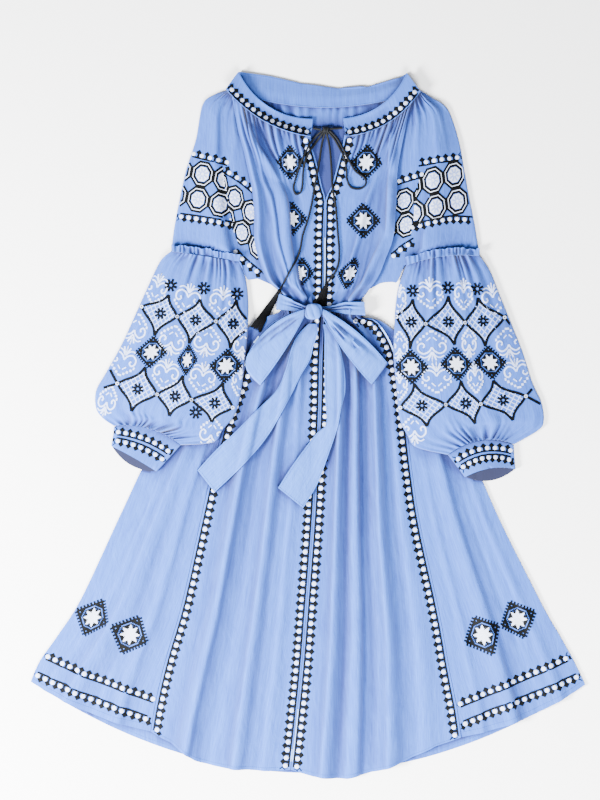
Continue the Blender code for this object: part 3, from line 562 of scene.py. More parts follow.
FRONT_RIGHT = [
    (60, 481, 175, 545, 18),
    (57, 463, 168, 520, 17),
    (52, 445, 162, 492, 13),
    (46, 422, 155, 458, 10),
    (39, 398, 149, 422, 7),
    (29, 375, 148, 388, 3),
    (28, 342, 146, 355, 0),
    (27, 303, 142, 312, 0),
    (27, 265, 130, 278, 0),
    (26, 228, 115, 243, 0),
    (26, 207, 89, 208, 0),
    (25, 185, 88, 191, 0),
    (24, 170, 90, 179, 0),
    (23, 148, 115, 172, 2),
    (21, 105, 142, 128, 3),
    (20, 50, 155, 67, 3),
    (18, -5, 162, 17, 3),
    (13, -85, 173, -75, 5),
    (8, -168, 187, -167, 8),
    (-4, -322, 218, -310, 15),
    (-11, -408, 235, -405, 18),
    (-20, -495, 248, -472, 22),
    (-29, -574, 255, -520, 27),
]
HEM_LEFT = [(0, 0), (0.15, -5), (0.35, 2), (0.5, 0), (0.72, -4), (1, 0)]
HEM_RIGHT = [(0, 0), (0.12, 6), (0.23, 8), (0.31, 8), (0.45, 2), (0.57, -1), (0.72, -6), (0.85, -8), (1, 0)]
FRONT_FOLDS = {
    "left": [
        (0, 0.07, 10, 0.06, 0.05, 0.08, 2.0, 3.0, 0.0),
        (0.6, 0.16, 4, 0.44, 0.07, 0.14, 1.5, 4.5, -0.80),
        (4, 0.44, 10, 0.60, 0.14, 0.12, 4.5, 4.0, -0.85),
        (1.5, 0.60, 6, 0.66, 0.04, 0.06, -0.5, -1.2, 0.0),
        (0.2, 0.36, 3.4, 0.52, 0.04, 0.05, -2.0, -2.5, 0.0),
        (3.5, 0.18, 9.7, 0.46, 0.07, 0.05, 3.0, 3.5, -0.4),
        (10, 0.30, 22, 0.27, 0.06, 0.08, 3.0, 5.0, -0.4),
        (11, 0.42, 22, 0.44, 0.05, 0.06, -1.0, -2.5, 0.0),
        (12, 0.54, 22, 0.62, 0.07, 0.07, 2.5, 4.0, 0.3),
        (14, 0.72, 22, 0.78, 0.05, 0.05, -0.8, -1.8, 0.0),
        (10, 0.12, 14, 0.11, 0.05, 0.05, 2.5, 0.6, 0.0),
        (10, 0.72, 16, 0.74, 0.05, 0.05, 2.5, 0.8, 0.2),
        (10, 0.88, 14, 0.88, 0.04, 0.04, 2.0, 0.5, 0.0),
    ],
    "right": [
        (0.6, 0.62, 4, 0.86, 0.07, 0.10, 1.5, 4.5, 0.80),
        (4, 0.86, 7, 0.88, 0.10, 0.09, 4.5, 4.5, 0.80),
        (7, 0.84, 10, 0.66, 0.12, 0.10, 4.5, 3.5, 0.70),
        (0.2, 0.50, 3.2, 0.58, 0.04, 0.05, -2.5, -2.0, 0.0),
        (0.3, 0.70, 3.0, 0.72, 0.04, 0.04, 3.0, 2.0, 0.4),
        (3.4, 0.69, 9.7, 0.31, 0.07, 0.05, 3.0, 3.5, 0.4),
        (10, 0.70, 14, 0.72, 0.05, 0.05, 2.5, 1.0, 0.0),
        (10, 0.28, 22, 0.17, 0.05, 0.06, 2.5, 4.5, 0.4),
        (12, 0.40, 22, 0.26, 0.04, 0.05, -1.0, -2.5, 0.0),
        (11, 0.50, 22, 0.36, 0.05, 0.07, 2.5, 4.5, -0.4),
        (12, 0.62, 22, 0.46, 0.05, 0.05, -1.0, -2.2, 0.0),
        (12, 0.72, 22, 0.56, 0.06, 0.08, 2.5, 5.0, 0.4),
        (14, 0.86, 22, 0.72, 0.05, 0.06, -0.8, -1.6, 0.0),
    ],
}
FRONT_GATHERS = [(0, 5.2, 13, 4.4, 0.3), (9.3, 6.0, 8, 1.6, 0.6), (10.9, 15, 9, 2.2, 0.15)]
for side, rows, hem in (("left", FRONT_LEFT, HEM_LEFT), ("right", FRONT_RIGHT, HEM_RIGHT)):
    front, top = cloth_panel("front_" + side, rows, 84, 4.5, chambray_blue, FRONT_FOLDS[side],
                             FRONT_GATHERS, {22: hem}, cut=190, seed=7,
                             below=["back", "upper_sleeve_" + side, "gore_" + side])
    declare(front, "front_" + side)

# Lower sleeves: full bishop sleeves of chambray, gathered to the upper sleeve above and to the cuff
# below, with the cloth puffed between its two layers.
LOWER_LEFT = [
    (-228, 286, -113, 268, 0),
    (-245, 273, -104, 242, 0),
    (-265, 232, -100, 205, 0),
    (-287, 183, -101, 158, 0),
    (-310, 133, -106, 105, 5),
    (-335, 88, -113, 52, 5),
    (-352, 57, -123, 17, 3),
    (-352, 28, -143, -8, -8),
    (-340, 11, -158, -28, -15),
    (-321, 2, -211, -29, -12),
]
LOWER_RIGHT = [
    (164, 263, 285, 279, -7),
    (153, 236, 302, 257, -3),
    (147, 203, 318, 217, 0),
    (144, 158, 338, 168, 0),
    (143, 112, 357, 120, 3),
    (148, 62, 373, 70, 5),
    (153, 12, 388, 37, 5),
    (165, -15, 392, 8, -8),
    (180, -36, 383, -8, -18),
    (232, -45, 342, -28, -15),
]
LOWER_FOLDS = {
    "left": [
        (0, 0.30, 5, 0.34, 0.06, 0.08, 2.0, 0.6, 0.0),
        (0, 0.55, 4, 0.60, 0.05, 0.07, 2.4, 0.6, 0.2),
        (0, 0.80, 5, 0.84, 0.05, 0.06, 2.0, 0.6, 0.0),
        (3, 0.20, 9, 0.30, 0.06, 0.05, 0.5, 2.0, 0.0),
    ],
    "right": [
        (0, 0.36, 5, 0.30, 0.06, 0.08, 2.4, 0.6, 0.0),
        (0, 0.62, 4, 0.60, 0.05, 0.07, 2.8, 0.6, 0.2),
        (0, 0.84, 5, 0.86, 0.05, 0.06, 2.0, 0.6, 0.0),
        (3, 0.60, 9, 0.62, 0.06, 0.05, 0.5, 2.0, 0.0),
    ],
}
LOWER_GATHERS = [(0, 3.2, 15, 3.0, 0.5), (9, 5.6, 15, 3.6, 0.1)]
for side, rows in (("left", LOWER_LEFT), ("right", LOWER_RIGHT)):
    rows = [list(row) for row in rows]
    for end, far in ((rows[0], 3.0), (rows[-1], -3.4)):  # both ends run on into the seams
        run = math.hypot(end[2] - end[0], end[3] - end[1])
        away = (far * (end[1] - end[3]) / run, far * (end[2] - end[0]) / run)
        end[:4] = [end[k] + away[k % 2] for k in range(4)]
    sleeve, top = cloth_tube("lower_sleeve_" + side, rows, (88, 24), 4, chambray_blue, LOWER_FOLDS[side],
                             LOWER_GATHERS, cut=235, seed=11, below=["back", "gore_" + side], blur=2)
    declare(sleeve, "lower_sleeve_" + side)

# Gathered headings: the lower sleeves' top edges stand above the seam as a narrow frill of chambray,
# whose raw edge runs up and down a little.
HEADING_LEFT = [(-228, 299, -112, 282, -2), (-227, 288, -113, 271, -2)]
HEADING_RIGHT = [(161, 278, 286, 292, -7), (163, 265, 285, 281, -7)]
chance = random.Random(13)
for side, rows in (("left", HEADING_LEFT), ("right", HEADING_RIGHT)):
    ragged = [(k / 32, chance.uniform(-2.0, 2.0)) for k in range(33)]
    frill, top = cloth_panel("heading_" + side, rows, 120, 2.5, chambray_blue,
                             gathers=[(0, 2.5, 17, 2.6, 0.5)], drops={0: ragged}, seed=13, sway=0.5, blur=1,
                             below=["upper_sleeve_" + side, "lower_sleeve_" + side])
    declare(frill, "heading_" + side)

# Cuffs: two cloths with stiffening between them, joined in a ring, open at the wrist.
CUFF_LEFT = [
    (-322, -2, -212, -33, -12, -12),
    (-324, -18, -231, -54, -7, 5),
    (-327, -35, -252, -77, -2, 12),
]
CUFF_RIGHT = [
    (233, -49, 342, -33, -15, -15),
    (247, -67, 343, -52, -13, 2),
    (261, -86, 345, -73, -8, 13),
]
chambray_firm = chambray("chambray_stiffened", BLUE, BLUE_DEEP, BLUE_PALE, crinkle=0.4)
for side, rows in (("left", CUFF_LEFT), ("right", CUFF_RIGHT)):
    cuff, top = cloth_tube("cuff_" + side, rows, (48, 24), 2.5, chambray_firm, seed=17, sway=0.3, blur=1,
                           thick=1.6, bulge=1.0, low_drops={}, low_bows=[r[5] for r in rows],
                           below=["back", "gore_" + side, "front_" + side])
    declare(cuff, "cuff_" + side)

# Neckband: a doubled straight band round the neck, with its two front ends at the slit.
BAND_BACK = [(-115, 588, 164, 585, 0), (-125, 572, 175, 570, 25), (-133, 557, 185, 555, 28)]
BAND_BACK_EDGE = [(0, 0), (0.19, 7), (0.37, 18), (0.6, 26), (0.79, 22), (0.96, 7), (1, 0)]
BAND_LEFT = [(-116, 587, 8, 509, 22), (-127, 572, 7, 495, 18), (-137, 557, 5, 479, 15)]
BAND_RIGHT = [(58, 510, 164, 585, 19), (60, 495, 175, 570, 18), (62, 479, 187, 554, 17)]
for name, rows, edge, below in (
        ("neckband_back", BAND_BACK, {0: BAND_BACK_EDGE},
         ["back", "upper_sleeve_left", "upper_sleeve_right"]),
        ("neckband_left", BAND_LEFT, None, ["upper_sleeve_left", "front_left", "neckband_back"]),
        ("neckband_right", BAND_RIGHT, None, ["upper_sleeve_right", "front_right", "neckband_back"])):
    band, top = cloth_panel(name, rows, 90, 2.5, chambray_firm, drops=edge, seed=19, below=below, sway=0.4,
                            blur=2, thick=1.4)
    declare(band, name)

# Sash: a long doubled strip of chambray, creased from being pulled tight round the waist.
WAIST = [(-48, 218, 94, 204, 0), (-50, 208, 94, 197, 0), (-52, 200, 95, 189, 0), (-53, 192, 95, 182, 0)]
WAIST_DIPS = [
    [(0, 0), (0.31, 15), (0.5, 14), (0.62, 11), (0.78, 3), (1, 0)],
    [(0, 0), (0.31, 10), (0.5, 9), (0.62, 7), (0.78, 1), (1, 0)],
    [(0, 0), (0.31, 5), (0.5, 4), (0.62, 2), (0.78, 0), (1, 0)],
    [(0, 0), (0.31, 1), (0.5, -1), (0.62, -3), (0.78, 0), (1, 0)],
]
LOOP_LEFT = [
    (-101, 115, -6, 192, -13),
    (-103, 103, -6, 189, -10),
    (-101, 92, -6, 186, -5),
    (-92, 79, -7, 182, 0),
    (-79, 67, -7, 178, 3),
]
LOOP_RIGHT = [
    (25, 192, 131, 104, -7),
    (24, 188, 125, 94, -3),
    (24, 185, 118, 85, 2),
    (24, 182, 112, 77, 3),
    (24, 180, 105, 68, 5),
]
TAIL_LEFT = [
    (1, 168, 15, 168, 0),
    (-17, 150, 16, 153, 0),
    (-28, 127, 9, 130, 0),
    (-38, 90, 3, 108, 0),
    (-53, 57, -12, 82, 0),
    (-84, 26, -34, 38, 0),
    (-123, -13, -68, -20, 0),
    (-153, -41, -108, -67, 0),
    (-184, -75, -155, -112, 0),
]
TAIL_RIGHT = [
    (24, 167, 36, 167, 0),
    (27, 153, 42, 153, 0),
    (27, 125, 54, 125, 0),
    (27, 88, 61, 92, 0),
    (28, 47, 62, 55, 0),
    (30, 2, 55, 27, 0),
    (13, -15, 49, -5, 0),
    (-5, -38, 35, -47, 0),
    (-27, -68, 16, -98, 0),
    (-50, -104, -8, -138, 0),
]
chambray_sash = chambray("chambray_sash", "#3067c3", "#2154b0", "#477ccf", crinkle=1.2)
FRONTS = ["front_left", "front_right"]
WAIST_FOLDS = [
    (0.3, 0.0, 1.3, 0.46, 0.30, 0.15, -1.2, -2.0, 0),
    (1.2, 0.0, 2.2, 0.46, 0.30, 0.15, -1.2, -2.0, 0),
    (0.5, 1.0, 1.2, 0.55, 0.40, 0.20, -1.2, -2.0, 0),
    (1.5, 1.0, 2.0, 0.55, 0.40, 0.25, -1.2, -2.0, 0),
    (0.0, 0.0, 1.0, 0.46, 0.30, 0.15, 1.2, 1.8, 0),
    (1.0, 1.0, 1.6, 0.55, 0.40, 0.25, 1.0, 1.6, 0),
]
LOOP_FOLDS = {
    "left": [
        (0.3, 0.0, 1.4, 1.0, 0.40, 0.30, -1.8, -2.2, 0),
        (1.4, 0.25, 2.4, 1.0, 0.16, 0.24, -1.2, -2.4, 0),
        (1.0, 0.10, 2.0, 1.0, 0.20, 0.24, 1.2, 2.2, 0),
        (2.2, 0.45, 3.4, 0.98, 0.14, 0.18, 0.8, 1.8, 0),
    ],
    "right": [
        (0.3, 1.0, 1.4, 0.0, 0.40, 0.30, -1.8, -2.2, 0),
        (1.4, 0.75, 2.4, 0.0, 0.16, 0.24, -1.2, -2.4, 0),
        (1.0, 0.90, 2.0, 0.0, 0.20, 0.24, 1.2, 2.2, 0),
        (2.2, 0.55, 3.4, 0.02, 0.14, 0.18, 0.8, 1.8, 0),
    ],
}
waist, top = cloth_tube("sash_waist", WAIST, (80, 24), 1.6, chambray_sash, WAIST_FOLDS,
                        drops=dict(enumerate(WAIST_DIPS)), low_drops={}, seed=23, blur=1, sway=0.5,
                        bulge=0.8)
declare(waist, "sash_waist")
UNDER = FRONTS + ["gore_left", "gore_right", "sash_waist"]
for name, rows in (("sash_tail_left", TAIL_LEFT), ("sash_tail_right", TAIL_RIGHT)):
    tail, top = cloth_panel(name, rows, 30, 3.5, chambray_sash, seed=29, below=UNDER, sway=0.6, blur=3,
                            thick=1.2)
    declare(tail, name)
for side, rows in (("left", LOOP_LEFT), ("right", LOOP_RIGHT)):
    name = "sash_loop_" + side
    loop, top = cloth_tube(name, rows, (60, 30), 2.0, chambray_sash, LOOP_FOLDS[side], seed=31, blur=2,
                           sway=0.6, below=UNDER + ["sash_tail_left", "sash_tail_right"])
    declare(loop, name)

# Edge trims: machine satin stitch in black and white cotton along the seams, hems and bands. One
# unit repeats along each line: a rail, a stem with a diamond head, and a white disc between stems.
def satin(name, colour, dark, gloss):
    """Mercerised embroidery cotton: smooth parallel stitches with a low sheen. Threads are 0.4 mm
    apart, drawn 0.9 mm apart so that their lines show."""
    material, tree, shader = new_material(name, {"Roughness": gloss, "Specular IOR Level": 0.07})
    place = add_node(tree, "ShaderNodeTexCoord").outputs["Object"]
    turned = add_node(tree, "ShaderNodeMapping", {"Rotation": (0, 0, 0.5)}, {"Vector": place})
    lines = add_node(tree, "ShaderNodeTexWave", {"Scale": 350.0, "Distortion": 1.5, "Detail": 1.0},
                     {"Vector": turned.outputs["Vector"]})
    shade = add_node(tree, "ShaderNodeValToRGB", {"stops": [(0.0, dark), (0.7, colour)]},
                     {"Fac": lines.outputs["Fac"]})
    tree.links.new(shade.outputs["Color"], shader.inputs["Base Color"])
    bump = add_node(tree, "ShaderNodeBump", {"Strength": 0.5, "Distance": 0.0003},
                    {"Height": lines.outputs["Fac"]})
    tree.links.new(bump.outputs["Normal"], shader.inputs["Normal"])
    return material


units = []
satin_black = satin("satin_stitch_black", "#060709", "#030405", 0.6)
satin_white = satin("satin_stitch_white", "#ccd3e6", "#b0bad4", 0.5)


def raised(name, shapes, tall=0.55):
    """Small domed shapes for one repeat, from lists of plan corners."""
    mesh = bpy.data.meshes.new(name)
    points, faces = [], []
    for corners in shapes:
        n, first = len(corners), len(points)
        middle = np.mean(corners, axis=0)
        for share, z in ((1.0, -0.4), (1.0, tall * 0.55), (0.62, tall)):
            level = (middle + (np.array(corners) - middle) * share) * MM
            points += [(x, y, z * MM) for x, y in level.tolist()]
        for ring in (0, n):
            for k in range(n):
                a, b = first + ring + k, first + ring + (k + 1) % n
                faces.append((a, b, b + n, a + n))
        faces.append([first + 2 * n + k for k in range(n)])
    mesh.from_pydata(points, [], faces)
    units.append(new_object(name, mesh))
    return units[-1]


def new_tree(name, inputs):
    """A geometry tree with named inputs and one output, and its input node."""
    tree = bpy.data.node_groups.new(name, "GeometryNodeTree")
    for label, kind in inputs.items():
        tree.interface.new_socket(label, in_out="INPUT", socket_type="NodeSocket" + kind)
    tree.interface.new_socket("Threads", in_out="OUTPUT", socket_type="NodeSocketGeometry")
    return tree, add_node(tree, "NodeGroupInput")


def trim_tree():
    """Repeats a unit along curves, heads to the left of each, and lowers it on to the cloth."""
    tree, given = new_tree("sewn_repeat", {"Lines": "Geometry", "Unit": "Object", "Pitch": "Float",
                                           "Cloth": "Object", "Thread": "Material"})
    points = add_node(tree, "GeometryNodeResampleCurve", {"mode": "LENGTH"},
                      {"Curve": given.outputs["Lines"], "Length": given.outputs["Pitch"]})
    ahead = add_node(tree, "GeometryNodeInputTangent")
    turn = add_node(tree, "FunctionNodeAlignRotationToVector", {"axis": "X", "pivot_axis": "Z"},
                    {"Vector": ahead.outputs["Tangent"]})
    unit = add_node(tree, "GeometryNodeObjectInfo", {}, {"Object": given.outputs["Unit"]})
    placed = add_node(tree, "GeometryNodeInstanceOnPoints", {},
                      {"Points": points.outputs["Curve"], "Instance": unit.outputs["Geometry"],
                       "Rotation": turn.outputs["Rotation"]})
    real = add_node(tree, "GeometryNodeRealizeInstances", {}, {"Geometry": placed.outputs["Instances"]})
    here = add_node(tree, "GeometryNodeInputPosition")
    part = add_node(tree, "ShaderNodeSeparateXYZ", {}, {"Vector": here.outputs["Position"]})
    over = add_node(tree, "ShaderNodeCombineXYZ", {"Z": 0.2},
                    {"X": part.outputs["X"], "Y": part.outputs["Y"]})
    cloth = add_node(tree, "GeometryNodeObjectInfo", {}, {"Object": given.outputs["Cloth"]})
    met = add_node(tree, "GeometryNodeRaycast", {"Ray Direction": (0, 0, -1), "Ray Length": 0.3},
                   {"Target Geometry": cloth.outputs["Geometry"],
                    "Source Position": over.outputs["Vector"]})
    missed = add_node(tree, "FunctionNodeBooleanMath", {"operation": "NOT"}, {0: met.outputs["Is Hit"]})
    kept = add_node(tree, "GeometryNodeDeleteGeometry", {},
                    {"Geometry": real.outputs["Geometry"], "Selection": missed.outputs["Boolean"]})
    ground = add_node(tree, "ShaderNodeSeparateXYZ", {}, {"Vector": met.outputs["Hit Position"]})
    high = add_node(tree, "ShaderNodeMath", {"operation": "ADD"},
                    {0: ground.outputs["Z"], 1: part.outputs["Z"]})
    spot = add_node(tree, "ShaderNodeCombineXYZ", {},
                    {"X": part.outputs["X"], "Y": part.outputs["Y"], "Z": high.outputs["Value"]})
    down = add_node(tree, "GeometryNodeSetPosition", {},
                    {"Geometry": kept.outputs["Geometry"], "Position": spot.outputs["Vector"]})
    done = add_node(tree, "GeometryNodeSetMaterial", {},
                    {"Geometry": down.outputs["Geometry"], "Material": given.outputs["Thread"]})
    add_node(tree, "NodeGroupOutput", {}, {"Threads": done.outputs["Geometry"]})
    return tree


sewn_repeat = trim_tree()


def made_along(name, lines, tree, values):
    """Plain mesh that a tree makes on lines of points in millimetres; a plan line lies at height 0."""
    curve = bpy.data.curves.new(name, "CURVE")
    curve.dimensions = "3D"
    for line in lines:
        spline = curve.splines.new("POLY")
        spline.points.add(len(line) - 1)
        for point, at in zip(spline.points, line):
            point.co = (at[0] * MM, at[1] * MM, at[2] * MM if len(at) > 2 else 0, 1)
    holder = new_object(name + "_lines", curve)
    modifier = holder.modifiers.new("threads", "NODES")
    modifier.node_group = tree
    for socket in tree.interface.items_tree:
        if socket.name in values:
            modifier[socket.identifier] = values[socket.name]
    bpy.context.view_layer.update()
    mesh = bpy.data.meshes.new_from_object(holder.evaluated_get(bpy.context.evaluated_depsgraph_get()))
    bpy.data.objects.remove(holder, do_unlink=True)
    return mesh


def sew_along(name, lines, unit, pitch, cloth, material):
    """One piece of repeated stitches along plan lines on one piece of cloth."""
    values = {"Unit": unit, "Pitch": pitch * MM, "Cloth": cloth, "Thread": material}
    return add_stitches(name, made_along(name, lines, sewn_repeat, values))


def sew_trim(name, side, lines, trim, cloth):
    """The black and the white piece of one trim; trim is its two units and their pitch."""
    for unit, colour, thread in ((trim[0], "_black_", satin_black), (trim[1], "_white_", satin_white)):
        sew_along(name + colour + side, lines, unit, trim[2], cloth, thread)


def add_stitches(name, mesh):
    mesh.name = name
    piece = new_object(name, mesh)
    mesh.shade_smooth()
    mesh.set_sharp_from_angle(angle=math.radians(50))
    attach(piece, "root")
    return piece


def smooth_line(points, step=4.0):
    """Plan points along a smooth line through the given ones, about one step apart."""
    p = [np.array(q, float) for q in points]
    p = [2 * p[0] - p[1]] + p + [2 * p[-1] - p[-2]]
    out = []
    for a, b, c, d in zip(p[:-3], p[1:-2], p[2:-1], p[3:]):
        count = max(1, round(np.linalg.norm(c - b) / step))
        for k in range(count):
            out.append(on_curve(a, b, c, d, k / count))
    return np.array(out + [p[-2]])


def beside_edge(rows, first, last, end, inset, drops=None):
    """Line along one end of the rows, moved into the cloth; it runs from row first to row last."""
    points = []
    count = max(2, int(abs(last - first) * 4))
    for v in np.linspace(first, last, count):
        row = between(rows, v)
        run = math.hypot(row[2] - row[0], row[3] - row[1])
        part = inset / run if end == 0 else 1 - inset / run
        points.append([float(c) for c in plan(rows, v, part, drops, inset=0.0)])
    return points


def trim_units(name, pitch, reach):
    """Black and white shapes of one repeat of the trim."""
    k = reach / 16.0
    black = [[(-0.6 * pitch, 0), (0.6 * pitch, 0), (0.6 * pitch, 3.2 * k), (-0.6 * pitch, 3.2 * k)],
             [(-2.1 * k, 2 * k), (2.1 * k, 2 * k), (1.8 * k, 9 * k), (-1.8 * k, 9 * k)],
             [(0, 6.2 * k), (5.6 * k, 11.6 * k), (0, 16.8 * k), (-5.6 * k, 11.6 * k)]]
    white = [[(0.5 * pitch + 3.8 * k * math.cos(a), 6.9 * k + 3.9 * k * math.sin(a))
              for a in np.linspace(0, 2 * math.pi, 11)[:-1]]]
    return raised(name + "_black", black, 0.8), raised(name + "_white", white, 0.6), pitch


pieces_of = {o.name[6:]: o for o in bpy.data.objects if o.name.startswith("cloth_")}
skirt_trim = trim_units("skirt_trim", 13.2, 15.8)
band_trim = trim_units("band_trim", 12.2, 14.4)
for side, rows, inner, centre, princess in (("left", FRONT_LEFT, 1, (22, 0), (12, 22)),
                                            ("right", FRONT_RIGHT, 0, (0, 22), (22, 12))):
    lines = [beside_edge(rows, *centre, inner, 2.6), beside_edge(rows, *princess, 1 - inner, 3.5)]
    sew_trim("trim", side, lines, skirt_trim, pieces_of["front_" + side])

# Hem bands: two facing rows of the same trim across each side gore.
HEM_BANDS = {
    "left": [[(-442, -389), (-388, -413), (-360, -425), (-254, -465)],
             [(-262, -485), (-363, -448), (-393, -435), (-454, -408)]],
    "right": [[(250, -473), (320, -443), (387, -415), (438, -392)],
              [(450, -411), (395, -435), (320, -465), (253, -494)]],
}
for side, lines in HEM_BANDS.items():
    sew_trim("hem_band", side, [smooth_line(line) for line in lines], skirt_trim, pieces_of["gore_" + side])

# Neckband and cuff trims: smaller units, with the rail on the seam and the heads towards the edge.
for side, rows in (("left", BAND_LEFT), ("right", BAND_RIGHT)):
    line = np.stack(plan(rows, 1.9, np.linspace(0.01, 0.99, 30)), axis=1)
    sew_trim("neck_trim", side, [line], band_trim, pieces_of["neckband_" + side])
for side, rows in (("left", CUFF_LEFT), ("right", CUFF_RIGHT)):
    up, low = [np.stack(plan(rows, v, np.linspace(0.01, 0.99, 24)), axis=1) for v in (0.93, 1.07)]
    sew_trim("cuff_trim", side, [up, low[::-1]], band_trim, pieces_of["cuff_" + side])

# Diamond motifs: a square on its point, charted as counted cross stitch, a quarter at a time:
# # black, o white and - bare cloth. The eight-pointed star and the comb edge are traditional.
QUARTER = ["############",
           "############",
           "##-####-----",
           "######-#####",
           "#####-##o###",
           "####-##-oo##",
           "###-####ooo#",
           "##-##-##oooo",
           "##-#oooooooo",
           "##-##ooooooo",
           "##-###oooooo",
           "##-####ooooo"]
cells = [row + row[-2::-1] for row in QUARTER]
cells = cells + cells[-2::-1]
threads = {}


def lay_patch(key, corners, cloth, tall=0.5):
    """Adds small four-cornered patches of stitches; corners is a list of four plan points each."""
    points, faces = threads.setdefault(key, ([], []))
    numbers = {}
    edges = {}
    for quad in corners:
        ring = []
        for x, y in quad:
            spot = (round(x, 2), round(y, 2))
            if spot not in numbers:
                z = None
                for name in cloth:
                    hit = laid[name].ray_cast(Vector((x * MM, y * MM, 0.2)), Vector((0, 0, -1)))[0]
                    if hit is not None:
                        z = max(z or 0.0, hit.z / MM)
                numbers[spot] = len(points) if z is not None else None
                if z is not None:
                    points.append((x, y, z + tall))
                    points.append((x, y, z - 0.4))
            ring.append(numbers[spot])
        if None in ring:
            continue
        faces.append(ring)
        for a, b in zip(ring, ring[1:] + ring[:1]):
            edges[(a, b)] = 1
    for a, b in edges:
        if (b, a) not in edges:
            faces.append((b, a, a + 1, b + 1))


def face_outwards(mesh, patches=False):
    """Turns all faces outwards. Patches are open below, so their broad faces say which way is up."""
    bm = bmesh.new()
    bm.from_mesh(mesh)
    bmesh.ops.recalc_face_normals(bm, faces=bm.faces)
    if patches and sum(f.normal.z < -0.5 for f in bm.faces) > len(bm.faces) / 4:
        bmesh.ops.reverse_faces(bm, faces=bm.faces)
    bm.to_mesh(mesh)
    bm.free()


def finish_threads(key, name, material):
    """Turns the collected patches into one piece."""
    points, faces = threads.pop(key)
    mesh = bpy.data.meshes.new(name)
    mesh.from_pydata([(x * MM, y * MM, z * MM) for x, y, z in points], [], faces)
    mesh.materials.append(material)
    face_outwards(mesh, patches=True)
    return add_stitches(name, mesh)


def diamond(keys, corners, cloth, shown=None):
    """One motif over four corners: top, right, bottom, left. shown leaves out what a fold hides."""
    middle = np.mean(corners, axis=0)
    top, right, bottom, left = [middle + 0.95 * (np.array(c, float) - middle) for c in corners]
    n = len(cells)
    teeth = []
    for a, b, away in ((top, right, top - left), (right, bottom, right - top),
                       (bottom, left, bottom - right), (left, top, left - bottom)):
        for k in range(8):
            ends = [a + (b - a) * (k + part) / 8 for part in (0.22, 0.78)]
            tooth = [ends[0], ends[1], ends[1] + 0.085 * away, ends[0] + 0.085 * away]
            if shown is None or shown(*np.mean(tooth, axis=0)):
                teeth.append([tuple(float(c) for c in spot) for spot in tooth])
    lay_patch(keys[0], teeth, cloth, 0.5)
    for letter, key in zip("#o", keys):
        quads = []
        for i, j in ((i, j) for i in range(n) for j in range(n) if cells[i][j] == letter):
            quad = []
            for a, b in ((i, j), (i + 1, j), (i + 1, j + 1), (i, j + 1)):
                u, w = b / n, a / n
                at = (1 - w) * ((1 - u) * top + u * right) + w * ((1 - u) * left + u * bottom)
                quad.append((float(at[0]), float(at[1])))
            if shown is None or shown(*np.mean(quad, axis=0)):
                quads.append(quad)
        lay_patch(key, quads, cloth, 0.5 if letter == "#" else 0.7)


def on_point(cx, cy, wide, tall, lean=0.0):
    """Corners of a motif from its middle and its two diagonals; lean slides its top sideways."""
    return [(cx + lean, cy + tall / 2), (cx + wide / 2, cy),
            (cx - lean, cy - tall / 2), (cx - wide / 2, cy)]


BODICE_MOTIFS = {
    "left": [(-30, 437, 47, 58, 0), (-27, 343, 50, 58, 0), (-13, 252, 46, 54, 4)],
    "right": [(97, 437, 54, 60, 2), (92, 340, 57, 60, 0), (70, 252, 42, 54, 8)],
}
FOLD_EDGE = {
    "left": ([225, 272, 317, 367, 400, 433, 472], [-10, -18, -27, -30, -37, -49, -72]),
    "right": ([235, 288, 338, 375, 433, 470, 500], [75, 92, 123, 125, 123, 117, 107]),
}
SHOWN = {"left": lambda x, y: x > np.interp(y, *FOLD_EDGE["left"]),
         "right": lambda x, y: x < np.interp(y, *FOLD_EDGE["right"])}
for side, motifs in BODICE_MOTIFS.items():
    cloth = ["front_" + side]
    for cx, cy, wide, tall, lean in motifs:
        diamond(("black", "white"), on_point(cx, cy, wide, tall, lean), cloth, SHOWN[side])
    finish_threads("black", "bodice_motifs_black_" + side, satin_black)
    finish_threads("white", "bodice_motifs_white_" + side, satin_white)
GORE_MOTIFS = {
    "left": [[(-340, -290), (-334, -331), (-373, -351), (-387, -308)],
             [(-280, -318), (-267, -362), (-310, -381), (-328, -334)]],
    "right": [[(335, -293), (379, -310), (361, -355), (321, -335)],
              [(276, -318), (318, -332), (308, -382), (261, -363)]],
}
for side, motifs in GORE_MOTIFS.items():
    for corners in motifs:
        diamond(("black", "white"), corners, ["gore_" + side])
    finish_threads("black", "gore_motifs_black_" + side, satin_black)
    finish_threads("white", "gore_motifs_white_" + side, satin_white)

# Octagon bands round the upper sleeves: two rows of white filled octagons with double black outlines
# and bare squares between them, edged with the small trim. The sleeve's crease breaks the band.
def strip_quads(path, width):
    """Patches of a narrow ribbon of stitches along a plan path."""
    path = np.array(path, float)
    ahead = np.gradient(path, axis=0)
    side = np.stack((-ahead[:, 1], ahead[:, 0]), axis=1)
    side *= 0.5 * width / np.maximum(np.linalg.norm(side, axis=1, keepdims=True), 1e-9)
    a, b = (path + side).tolist(), (path - side).tolist()
    return [[a[k], a[k + 1], b[k + 1], b[k]] for k in range(len(path) - 1)]


def turned(centre, u, w, turn, far):
    """Plan point at an angle and distance from a centre, measured along the band's own two axes."""
    return [centre[k] + far * (math.cos(turn) * u[k] + math.sin(turn) * w[k]) for k in (0, 1)]


def past_crease(side, keep, x, y):
    """How far a plan point lies from the sleeve's crease on the side that is kept."""
    return keep * (x - np.interp(y, *CREASE[side]))


def octagon_ring(centre, u, w, inner, outer):
    """Patches between two octagons about one centre; sizes are shares of the band's pitch."""
    quads = []
    turns = np.linspace(0, 2 * math.pi, 33) + math.pi / 8
    for a, b in zip(turns[:-1], turns[1:]):
        quad = []
        for turn, size in ((a, inner), (a, outer), (b, outer), (b, inner)):
            far = size / math.cos((turn + math.pi / 8) % (math.pi / 4) - math.pi / 8)
            quad.append(turned(centre, u, w, turn, far))
        quads.append(quad)
    return quads


